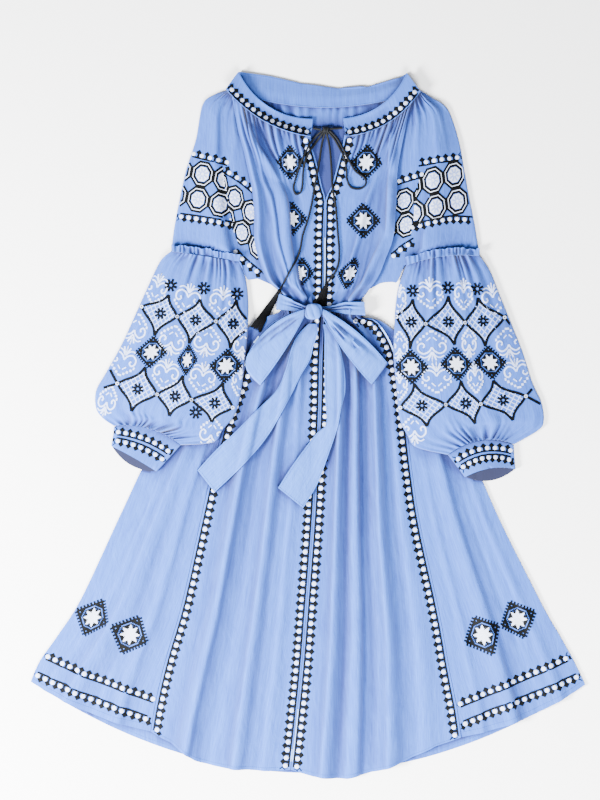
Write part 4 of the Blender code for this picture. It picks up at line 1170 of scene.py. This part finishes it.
# Parts of the bands, either side of the crease: lowest octagon's middle, step along, step up, sides.
CREASE = {"left": ([281, 324, 340, 373, 396, 431], [-109, -124, -129, -133, -138, -142]),
          "right": ([272, 333, 375, 433], [157, 175, 178, 189])}
BAND_PARTS = {
    "left": [(-183, 375, (37, -8.5), (7.7, 41.7), -1), (-110, 320, (26.5, -23.5), (14.8, 33.8), 1)],
    "right": [(212, 362, (36, 10), (-5.0, 44), 1), (163, 333, (34, 11), (-3.3, 40), -1)],
}
BAND_RAILS = {
    "left": [[(-198, 447), (-170, 439), (-142, 432)], [(-139, 417), (-115, 402), (-90, 382)],
             [(-128, 339), (-172, 347), (-217, 354)], [(-77, 257), (-97, 273), (-112, 288)]],
    "right": [[(191, 430), (223, 435), (256, 440)], [(148, 398), (167, 404), (185, 409)],
              [(267, 348), (233, 348), (178, 336)], [(168, 308), (155, 300), (143, 290)]],
}
star_grey = satin("satin_stitch_grey_blue", "#8d9fd4", "#7c90c8", 0.5)
for side, parts in BAND_PARTS.items():
    cloth = ["upper_sleeve_" + side]
    for cx, cy, u, w, keep in parts:
        for i in (-2, -1, 0, 1, 2):
            for j in (0, 1):
                centre = (cx + i * u[0] + j * w[0], cy + i * u[1] + j * w[1])
                rings = [("white", r, r + 0.085) for r in (0.01, 0.10, 0.19)]
                rings += [("black", 0.30, 0.387), ("white", 0.390, 0.420), ("black", 0.423, 0.51)]
                for colour, inner, outer in rings:
                    quads = [q for q in octagon_ring(centre, u, w, inner, outer)
                             if past_crease(side, keep, *np.mean(q, axis=0)) > 0]
                    lay_patch("octagon_" + colour, quads, cloth, 0.45 if colour == "black" else 0.55)
                for k in range(8):
                    turn = math.radians(45 * k + 22.5)
                    ends = [turned(centre, u, w, turn, far) for far in (0.06, 0.15, 0.25)]
                    if past_crease(side, keep, *ends[1]) > 4:
                        lay_patch("octagon_star", strip_quads(ends, 2.6), cloth, 0.8)
    finish_threads("octagon_black", "octagons_black_" + side, satin_black)
    finish_threads("octagon_white", "octagons_white_" + side, satin_white)
    finish_threads("octagon_star", "octagon_stars_" + side, star_grey)
    sew_trim("octagon_trim", side, [smooth_line(line) for line in BAND_RAILS[side]], band_trim,
             pieces_of["upper_sleeve_" + side])

# Lower sleeves: a lattice of curved black lines. Its cells hold white scrolls or a white grid with a
# black flower, with a row of small diamond motifs between. All are common ornaments.
# Each cell: top, right, bottom and left corner; a cell cut by the sleeve's edge runs past it.
GRID_CELLS = {
    "left": [[(-231, 216), (-217, 180), (-255, 148), (-277, 197)],
             [(-179, 209), (-153, 172), (-197, 135), (-217, 180)],
             [(-119, 208), (-95, 165), (-129, 127), (-153, 172)],
             [(-270, 96), (-250, 51), (-293, 23), (-317, 69)],
             [(-207, 82), (-193, 42), (-230, 15), (-250, 51)],
             [(-141, 70), (-125, 29), (-160, 5), (-193, 42)]],
    "right": [[(174, 209), (195, 168), (169, 126), (147, 180)],
              [(233, 214), (260, 170), (243, 133), (195, 168)],
              [(282, 211), (327, 179), (294, 131), (260, 170)],
              [(176, 68), (228, 34), (197, -2), (153, 29)],
              [(253, 73), (286, 35), (277, 2), (228, 34)],
              [(307, 74), (362, 48), (340, 8), (286, 35)]],
}
LOOSE_LINES = {
    "left": [[(-277, 197), (-295, 182)], [(-277, 197), (-282, 208)], [(-317, 69), (-340, 62)],
             [(-317, 69), (-332, 97)]],
    "right": [[(327, 179), (333, 188)], [(327, 179), (340, 163)], [(147, 180), (140, 172)],
              [(362, 48), (380, 68)], [(362, 48), (387, 35)], [(153, 29), (142, 38)]],
}
TOP_FLOWERS = {"left": [(-228, 232), (-173, 227), (-118, 218), (-186, 21)],
               "right": [(174, 223), (232, 228), (281, 226)]}
# Small diamonds: middle, width, height, lean.
SLEEVE_DIAMONDS = {
    "left": [(-260, 121, 54, 54, 4), (-200, 108, 34, 53, 3), (-136, 98, 56, 58, 4)],
    "right": [(171, 96, 57, 59, -2), (246, 101, 54, 57, -3), (302, 104, 56, 57, -4)],
}
# Scrolls: middle, share of full width, tilt in degrees, 1 upright or -1 hanging.
SCROLLS = {
    "left": [(-200, 208, 1.0, -14, 1), (-142, 203, 1.0, -6, 1), (-252, 225, 0.8, -18, 1),
             (-225, 142, 1.0, -16, -1), (-167, 140, 1.0, -14, -1), (-287, 162, 0.9, -18, -1),
             (-108, 135, 0.7, -8, -1), (-236, 83, 1.0, -14, 1), (-175, 77, 1.0, -12, 1),
             (-307, 105, 1.0, -18, 1), (-113, 72, 0.6, -8, 1), (-333, 42, 0.7, -18, -1),
             (-160, -12, 0.9, -10, -1)],
    "right": [(203, 217, 1.0, 4, 1), (258, 215, 0.7, 0, 1), (308, 208, 0.9, 8, 1),
              (152, 208, 0.5, 0, 1), (205, 133, 1.15, 2, -1), (267, 138, 0.55, 0, -1),
              (333, 138, 1.0, 6, -1), (152, 132, 0.6, 0, -1), (213, 77, 1.15, 2, 1),
              (277, 77, 0.6, 4, 1), (347, 85, 1.0, 10, 1), (152, 65, 0.6, 0, 1), (177, -5, 0.9, 0, -1)],
}
# One half of a scroll: ribbons of points, 1 step being 1.67 mm, with their width.
SCROLL_HALF = [
    ([(0, 2.5), (2.6, 6.6), (7.5, 8.6), (11.8, 5.2), (11.6, 0.2), (8.6, -1.8), (6.4, 0.4), (7.6, 2.6)],
     1.25),
    ([(0.3, 7.0), (3.2, 11.2), (7.0, 12.6), (10.5, 10.8)], 1.0),
    ([(0.2, 7.5), (2.2, 12.0), (3.6, 15.4)], 1.2),
    ([(-0.1, 7.0), (0, 12.0), (0, 17.5)], 0.9),
    ([(9.8, -5.0), (9.8, -7.4)], 1.8),
    ([(6.8, -7.6), (6.8, -10.0)], 1.8),
    ([(3.8, -10.2), (3.8, -12.4)], 1.8),
    ([(1.0, -12.4), (1.0, -14.4)], 1.8),
    ([(12.2, -2.0), (12.2, -4.6)], 1.4),
    ([(4.4, -4.2), (1.2, -7.4)], 0.9),
]


def flower(x, y, radius, cloth):
    """Eight narrow petals round a point."""
    for k in range(8):
        a = math.radians(45 * k + 22.5)
        path = [(x + r * radius * math.cos(a), y + r * radius * math.sin(a)) for r in (0.22, 0.6, 1.0)]
        lay_patch("lattice_black", strip_quads(path, 3.7), cloth, 0.6)


def edge_curve(a, b, bend):
    """Curved line of the lattice between two crossings."""
    a, b = np.array(a, float), np.array(b, float)
    side = np.array([-(b - a)[1], (b - a)[0]])
    return smooth_line([a + part * (b - a) - aside * bend * side
                        for part, aside in ((0, 0), (0.25, 0.08), (0.5, 0.07), (0.75, 0.02), (1, 0))], 4)


grid_white = satin("satin_stitch_soft_white", "#a3b7e6", "#8fa6dd", 0.55)
scroll_white = satin("satin_stitch_scroll", "#b9c8ee", "#a1b3e2", 0.55)
for side, cells_here in GRID_CELLS.items():
    cloth = ["lower_sleeve_" + side]
    for top, right, bottom, left in cells_here:
        top, right, bottom, left = [np.array(c, float) for c in (top, right, bottom, left)]
        for a, b, bend in ((top, right, 1), (top, left, -1), (bottom, right, -1), (bottom, left, 1)):
            lay_patch("lattice_black", strip_quads(edge_curve(a, b, bend), 4.4), cloth, 0.5)
        for k in range(1, 7):
            t = k / 7
            one = [top + (left - top) * t, right + (bottom - right) * t]
            two = [top + (right - top) * t, left + (bottom - left) * t]
            for a, b in (one, two):
                line = [a + (b - a) * share for share in np.linspace(0.05, 0.95, 12)]
                lay_patch("lattice_white", strip_quads(line, 1.6), cloth, 0.35)
        middle = (top + right + bottom + left) / 4
        flower(middle[0], middle[1], 10.0, cloth)
        for spot in (left, right):
            path = [spot + 2.2 * np.array([math.cos(a), math.sin(a)])
                    for a in np.linspace(0, 2 * math.pi, 9)]
            lay_patch("lattice_dots", strip_quads(path, 1.8), cloth, 0.8)
    for line in LOOSE_LINES[side]:
        lay_patch("lattice_black", strip_quads(smooth_line(line, 5), 4.4), cloth, 0.5)
    for x, y in TOP_FLOWERS[side]:
        flower(x, y, 11.0, cloth)
    for cx, cy, wide, tall, lean in SLEEVE_DIAMONDS[side]:
        diamond(("lattice_black", "lattice_dots"), on_point(cx, cy, wide, tall, lean), cloth)
    for cx, cy, share, tilt, way in SCROLLS[side]:
        turn = math.radians(tilt)
        for ribbon, width in SCROLL_HALF:
            for mirror in (1, -1):
                local = smooth_line([(mirror * x * share, way * y) for x, y in ribbon], 1.3) * 5 / 3
                path = [(cx + x * math.cos(turn) - y * math.sin(turn),
                         cy + x * math.sin(turn) + y * math.cos(turn)) for x, y in local]
                lay_patch("scroll_white", strip_quads(path, width * 2.1), cloth, 0.45)
    finish_threads("lattice_black", "lattice_black_" + side, satin_black)
    finish_threads("lattice_dots", "lattice_stars_" + side, satin_white)
    finish_threads("lattice_white", "lattice_grid_" + side, grid_white)
    finish_threads("scroll_white", "scrolls_" + side, scroll_white)

# Seam edges and topstitching: pressed seam edges stand beside the rails as narrow pale ridges, and
# blue sewing thread holds hems, bands and sash in stitches 3 mm long.
seam_pale = satin("cotton_edge_pale_blue", "#8fb0e4", "#7899d6", 0.8)
thread_blue = satin("sewing_thread_blue", "#31549c", "#27478c", 0.6)
stitch = raised("topstitch", [[(-1.1, -0.35), (1.1, -0.35), (1.1, 0.35), (-1.1, 0.35)]], 0.3)
for side, rows, end, hem in (("left", FRONT_LEFT, 1, HEM_LEFT), ("right", FRONT_RIGHT, 0, HEM_RIGHT)):
    cloth = ["front_" + side]
    lay_patch("seam", strip_quads(beside_edge(rows, 5, 22, end, 1.2), 1.7), cloth, 0.7)
    lay_patch("seam", strip_quads(beside_edge(rows, 12, 22, 1 - end, 1.4), 2.2), cloth, 0.8)
    finish_threads("seam", "seam_edges_" + side, seam_pale)
    line = np.stack(plan(rows, 21.88, np.linspace(0.01, 0.99, 60), {22: hem}), axis=1)
    sew_along("hem_stitches_" + side, [line], stitch, 3.2, pieces_of["front_" + side], thread_blue)
STITCHED = [("gore_left", GORE_LEFT, (10.75,), None), ("gore_right", GORE_RIGHT, (10.75,), None),
            ("back", BACK, (19.8,), None), ("neckband_left", BAND_LEFT, (0.14,), None),
            ("neckband_right", BAND_RIGHT, (0.14,), None),
            ("neckband_back", BAND_BACK, (0.14, 1.86), {0: BAND_BACK_EDGE})]
for name, rows, places, drops in STITCHED:
    lines = [np.stack(plan(rows, v, np.linspace(0.01, 0.99, 90), drops), axis=1) for v in places]
    sew_along(name + "_stitches", lines, stitch, 3.2, pieces_of[name], thread_blue)
for name, rows in (("sash_tail_left", TAIL_LEFT), ("sash_tail_right", TAIL_RIGHT),
                   ("sash_loop_left", LOOP_LEFT), ("sash_loop_right", LOOP_RIGHT)):
    last = len(rows) - 1
    if name.startswith("sash_tail"):
        lines = [beside_edge(rows, 0.2, last - 0.1, end, 3.0) for end in (0, 1)]
        ends = [np.array(line[-1]) for line in lines]
        lines.append(np.array([ends[0], (ends[0] + ends[1]) / 2, ends[1]]))
    else:
        lines = [np.stack(plan(rows, v, np.linspace(0.06, 0.97, 30)), axis=1) for v in (0.25, last - 0.25)]
    sew_along(name + "_stitches", lines, stitch, 3.2, pieces_of[name], thread_blue)

# Sash knot: the doubled strip wrapped once round itself, pulled into a small pad with slanted creases.
KNOT, KNOT_HALF = (9, 188), (14.5, 13.2)  # its middle, and half its width and height in plan
knot_levels = [v.co.z / MM for v in frame["nodes"]["sash_knot"].data.vertices]
knot_low, knot_high = min(knot_levels), max(knot_levels)
wraps = []
for tilt in np.linspace(0.12, math.pi - 0.12, 25):
    for turn in np.linspace(0, 2 * math.pi, 97):
        crease = 1 - 0.30 * (1 - abs(math.sin(2.5 * turn + 1.4 * tilt))) ** 1.3 * math.sin(tilt)
        round_it = math.sin(tilt) ** 0.7 * crease
        wraps.append((KNOT[0] + KNOT_HALF[0] * round_it * math.cos(turn) + math.cos(tilt),
                      KNOT[1] + KNOT_HALF[1] * math.copysign(abs(math.cos(tilt)) ** 0.8, math.cos(tilt)),
                      (knot_low + knot_high) / 2 + 0.47 * (knot_high - knot_low) * round_it * math.sin(turn),
                      turn * 12, tilt * 14))
wraps = np.array(wraps).reshape(25, 97, 5)
pad = wraps[:, :-1, :3]
knot = shell("cloth_sash_knot", pad, wraps[..., 3:], chambray_sash, closed=True, thick=0.8)
declare(knot, "sash_knot")

# Neck tie: a black braided cotton cord 3.5 mm thick, run through the neckband and tied in a bow over
# the slit. It is limp and lies on the cloth, and its ends carry the tassels.
CORD_R = 1.75
TIE = {
    "tie_bar_left": [(9, 494), (20, 491)],
    "tie_bar_right": [(57, 494), (38, 493)],
    "tie_loop_left": [(21, 488), (13, 480), (2, 465), (-9, 443), (-19, 415), (-24, 395),
                      (-20, 384), (-12, 388), (-9, 402), (-8, 422), (-4, 440), (4, 457),
                      (14, 471), (24, 485)],
    "tie_loop_right": [(35, 486), (43, 477), (52, 462), (60, 445), (64, 425), (65, 408),
                       (72, 395), (87, 393), (96, 401), (94, 411), (79, 422),
                       (69, 438), (59, 458), (49, 476), (38, 489)],
    "tie_tail_left": [(28, 484), (23, 467), (18, 433), (12, 402), (6, 367), (0, 342),
                      (-8, 318), (-16, 282), (-31, 254), (-45, 228)],
    "tie_tail_right": [(32, 484), (36, 462), (39, 428), (41, 393), (46, 365),
                       (49, 327), (52, 283), (47, 258), (34, 239)],
}
TIE_KNOT = (29, 491, 7.5)
TIE_UNDER = ["back", "front_left", "front_right", "neckband_left", "neckband_right", "neckband_back"]
braid, weave, cotton = new_material("braided_cord_black", {"Roughness": 0.75, "Specular IOR Level": 0.2})
held = add_node(weave, "ShaderNodeTexCoord")
plaits = add_node(weave, "ShaderNodeTexWave",
                  {"wave_type": "BANDS", "bands_direction": "DIAGONAL", "Scale": 220.0, "Distortion": 1.5},
                  {"Vector": held.outputs["Object"]})
shade = add_node(weave, "ShaderNodeValToRGB", {"stops": [(0.2, "#040506"), (0.8, "#0e1014")]},
                 {"Fac": plaits.outputs["Color"]})
weave.links.new(shade.outputs["Color"], cotton.inputs["Base Color"])


def tube_tree():
    """Round tubes along curves."""
    tree, given = new_tree("thread_tubes", {"Lines": "Geometry", "Radius": "Float", "Corners": "Int",
                                            "Thread": "Material"})
    ring = add_node(tree, "GeometryNodeCurvePrimitiveCircle", {},
                    {"Resolution": given.outputs["Corners"], "Radius": given.outputs["Radius"]})
    tube = add_node(tree, "GeometryNodeCurveToMesh", {"Fill Caps": True},
                    {"Curve": given.outputs["Lines"], "Profile Curve": ring.outputs["Curve"]})
    real = add_node(tree, "GeometryNodeRealizeInstances", {}, {"Geometry": tube.outputs["Mesh"]})
    done = add_node(tree, "GeometryNodeSetMaterial", {},
                    {"Geometry": real.outputs["Geometry"], "Material": given.outputs["Thread"]})
    add_node(tree, "NodeGroupOutput", {}, {"Threads": done.outputs["Geometry"]})
    return tree


thread_tubes = tube_tree()


def tubes(name, paths, radius, corners, material):
    """One piece of round cords or threads along 3-D paths."""
    values = {"Radius": radius * MM, "Corners": corners, "Thread": material}
    mesh = made_along(name, paths, thread_tubes, values)
    face_outwards(mesh)
    return add_stitches(name, mesh)


def lathe(name, profile, middle, along, material):
    """Round body from (place along, radius) steps about a level axis; along is a plan direction."""
    across = np.array((-along[1], along[0]))
    points, faces = [], []
    sides = 16
    for place, radius in profile:
        for k in range(sides):
            turn = 2 * math.pi * k / sides
            plan_at = middle[:2] + place * along + radius * math.cos(turn) * across
            points.append((plan_at[0] * MM, plan_at[1] * MM, (middle[2] + radius * math.sin(turn)) * MM))
    for i in range(len(profile) - 1):
        for k in range(sides):
            a, b = i * sides + k, i * sides + (k + 1) % sides
            faces.append((a, b, b + sides, a + sides))
    faces += [range(sides), range(len(points) - sides, len(points))]
    mesh = bpy.data.meshes.new(name)
    mesh.from_pydata(points, [], faces)
    mesh.materials.append(material)
    face_outwards(mesh)
    return add_stitches(name, mesh)


def resting(points, names, over):
    """Heights of a line lying on the pieces, pulled taut over their hollows."""
    points = np.array(points, float)
    level = laid_height(names, points[:, 0], points[:, 1]) + over
    for _ in range(4):
        level[1:-1] = np.maximum(level[1:-1], (level[:-2] + level[2:]) / 2)
    return level


# The tassels: cotton threads doubled over the cord's end, bound below a round head and fanned out
# flat by lying on the cloth.
TASSEL_THREADS, THREAD_R, BOUND = 140, 0.42, 5.0  # the threads start at the binding, this far down
tassel_thread = satin("cotton_thread_black", "#0c0d10", "#030304", 0.75)
TASSELS = {  # head's top, tip, spread at the tip, pieces below
    "left": ((-46, 225), (-88, 158), 18.0,
             ["back", "front_left", "front_right", "gore_left", "sash_waist"]),
    "right": ((32, 236), (20, 198), 20.0, ["back", "front_left", "front_right", "sash_waist"]),
}
tassels, poles = {}, {}
for side, (top, tip, wide, below) in TASSELS.items():
    chance = random.Random(len(side))
    top, tip = np.array(top), np.array(tip)
    length = np.linalg.norm(tip - top)
    along = (tip - top) / length
    across = np.array((-along[1], along[0]))
    level = resting([top + along * length * k / 12 for k in range(13)], below, 0.8)
    strands = []
    for _ in range(TASSEL_THREADS):
        out, lift = chance.uniform(-1, 1), chance.uniform(0, 1)
        full = length * chance.uniform(0.93, 1.0)
        wave, phase = chance.uniform(0.1, 0.5), chance.uniform(0, 6)
        path = []
        for t in np.linspace(0, 1, 9):
            place = BOUND + (full - BOUND) * t
            fan = 2.6 + (wide / 2 - 2.6) * t ** 0.8
            aside = out * fan + wave * math.sin(5 * t + phase)
            rise = 0.3 + lift * math.sqrt(max(0.05, 1 - out * out)) * (5.0 - 2.0 * t)
            at = top + along * place + across * aside
            path.append((at[0], at[1], np.interp(place, np.linspace(0, length, 13), level) + rise))
        strands.append(path)
    threads_piece = tubes("tassel_threads_" + side, strands, THREAD_R, 3, tassel_thread)
    middle = np.array((*(top + along * 4.5), level[0] + 3.2))
    profile = [(-5.2, 0.6), (-4.6, 2.0), (-3.0, 3.2), (-0.8, 3.6), (1.2, 3.3), (2.2, 2.7), (2.6, 3.1),
               (3.2, 3.3), (3.8, 3.3), (4.4, 3.1), (4.8, 2.6)]
    head = lathe("tassel_head_" + side, profile, middle, along, tassel_thread)
    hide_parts("tassel_" + side)
    poles[side] = [middle - np.array((*(along * 4.8), 0)), middle]
    poles[side] += [
        np.array((*(top + along * place), np.interp(place, np.linspace(0, length, 13), level) + 2.4))
        for place in np.arange(10, length - 48, 5)]
    tassels[side] = [threads_piece, head]

tie_pieces = {}
for name, points in TIE.items():
    kind, side = name.split("_")[1:]
    points = [np.array(p, float) for p in points]
    for k in {"bar": [-1], "loop": [0, -1], "tail": [0]}[kind]:
        away = points[k] - TIE_KNOT[:2]
        points[k] = TIE_KNOT[:2] + away / math.hypot(away[0] / 7.2, away[1] / 4.6)
    if kind == "tail":
        points[-1] = poles[side][0][:2]
    line = smooth_line(points, 2.5)
    level = resting(line, TIE_UNDER + ([] if kind != "tail" else ["sash_waist"]), CORD_R + 0.2)
    reach = np.arange(len(line)) * 2.5
    near = np.clip(reach / 16, 0, 1)
    near = {"bar": near[::-1], "loop": np.minimum(near, near[::-1]), "tail": near}[kind]
    level = TIE_KNOT[2] + (level - TIE_KNOT[2]) * near * near * (3 - 2 * near)
    if kind == "tail":
        close = np.clip((reach[-1] - reach) / 10, 0, 1)
        level = poles[side][0][2] + (level - poles[side][0][2]) * close
    path = np.column_stack((line, level))
    if kind == "tail":
        path = np.concatenate((path, poles[side][1:]))  # it runs on inside the head and the threads
    tie_pieces[name] = path
    if kind == "bar":
        continue
    piece = tubes("cloth_" + name, [path], CORD_R, 10, braid)
    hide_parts(name)
    run = float(np.linalg.norm(np.diff(path, axis=0), axis=1).sum()) * MM

# The knot: cords crossed and wrapped once, with the two short ends that come out of the neckband.
wound = []
for shift, lean in ((-2.6, 0.5), (0.2, -0.4), (2.8, 0.4)):
    ring = []
    for turn in np.linspace(0, 2 * math.pi, 25):
        ring.append((TIE_KNOT[0] + shift + lean * math.sin(turn) * 1.6,
                     TIE_KNOT[1] + 3.4 * math.cos(turn), TIE_KNOT[2] + 2.3 * math.sin(turn)))
    wound.append(ring)
core = [(TIE_KNOT[0] + x, TIE_KNOT[1] + 0.4 * x, TIE_KNOT[2]) for x in np.linspace(-6.2, 6.2, 9)]
knot_paths = wound + [core, tie_pieces["tie_bar_left"], tie_pieces["tie_bar_right"]]
tie_knot = tubes("cloth_tie_knot", knot_paths, CORD_R, 10, braid)
for node in ("tie_knot", "tie_bar_left", "tie_bar_right"):
    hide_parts(node)

for unit in units:
    bpy.data.objects.remove(unit, do_unlink=True)

# Painted shade in the folds: each point of the cloth stores how much cloth stands round it, up to 30 mm
# away, and the cloth's colour is darkened there by it, shade painted into the colour for the light that
# passes from blue cloth to blue cloth. The insides of the neck slit and of the cuffs' rings get painted
# shade of their own.
PAINTED_SHADE_REACH, SLIT_PAINTED_SHADE, CUFF_PAINTED_SHADE = 0.03, 0.60, 0.92
SLIT_LEFT, SLIT_RIGHT, SLIT_LOW, SLIT_TOP = -0.010, 0.070, 0.370, 0.528
points, faces = [], []
clothes = [o for o in bpy.data.objects
           if o.name.startswith("cloth_") and not o.name.startswith("cloth_tie")]
for piece in clothes:
    first = len(points)
    points += [v.co for v in piece.data.vertices]
    faces += [[first + k for k in p.vertices] for p in piece.data.polygons]
everything = BVHTree.FromPolygons(points, faces)
rays = [Vector((math.cos(high) * math.cos(turn), math.cos(high) * math.sin(turn), math.sin(high)))
        for high, count in ((0.12, 8), (0.30, 8), (0.55, 6), (1.1, 4))
        for turn in np.linspace(0.2 + high, 0.2 + high + 2 * math.pi, count + 1)[:-1]]
for piece in clothes:
    cover = []
    for vertex in piece.data.vertices:
        start = vertex.co + vertex.normal * 0.0005 + Vector((0, 0, 0.0004))
        met = [everything.ray_cast(start, ray, PAINTED_SHADE_REACH)[0] is not None for ray in rays]
        cover.append(sum(met) / len(rays))
        x, y = vertex.co[:2]
        # Painted shade on the back inside the neck slit: deepest low in the slit, fading to none at its top.
        if piece.name == "cloth_back" and SLIT_LEFT < x < SLIT_RIGHT and SLIT_LOW < y < SLIT_TOP:
            cover[-1] = max(cover[-1], min(SLIT_PAINTED_SHADE, (SLIT_TOP - y) * 18))
        # Painted shade on the inner faces of the cuffs' rings: they are darkened to one fixed depth.
        if piece.name.startswith("cloth_cuff") and vertex.index >= len(piece.data.vertices) / 2:
            cover[-1] = CUFF_PAINTED_SHADE
    piece.data.attributes.new("cover", "FLOAT", "POINT").data.foreach_set("value", cover)

# Setting: a pale plain floor, soft daylight from the left, a broad light from beyond the hem and a
# camera straight overhead.
floor_mesh = bpy.data.meshes.new("floor")
floor_mesh.from_pydata([(-6, -6, 0), (6, -6, 0), (6, 6, 0), (-6, 6, 0)], [], [(0, 1, 2, 3)])
paper = new_material("pale_floor", {"Base Color": linear("#fbfbfb"), "Roughness": 0.9})[0]
floor_mesh.materials.append(paper)
new_object("floor", floor_mesh)

world = bpy.data.worlds.new("soft_daylight")
world.use_nodes = True
sky = world.node_tree.nodes["Background"].inputs
sky["Color"].default_value, sky["Strength"].default_value = (0.93, 0.96, 1.0, 1.0), 0.7
bpy.context.scene.world = world
for name, place, aim, size, power in (("window", (-1.9, -0.8, 1.15), (0, -0.3, 0), 0.7, 430),
                                      ("fill", (0.4, -2.0, 2.0), (0, -0.35, 0), 1.6, 340)):
    lamp = bpy.data.lights.new(name, "AREA")
    lamp.shape = "DISK"
    lamp.size = size
    lamp.energy = power
    light = new_object(name, lamp)
    light.location = place
    light.rotation_euler = (Vector(aim) - Vector(place)).to_track_quat("-Z", "Y").to_euler()

lens = bpy.data.cameras.new("overhead")
lens.lens = 81.0
camera = new_object("overhead", lens)
camera.location = (-0.0133, 0.0417, 3.0)
bpy.context.scene.camera = camera
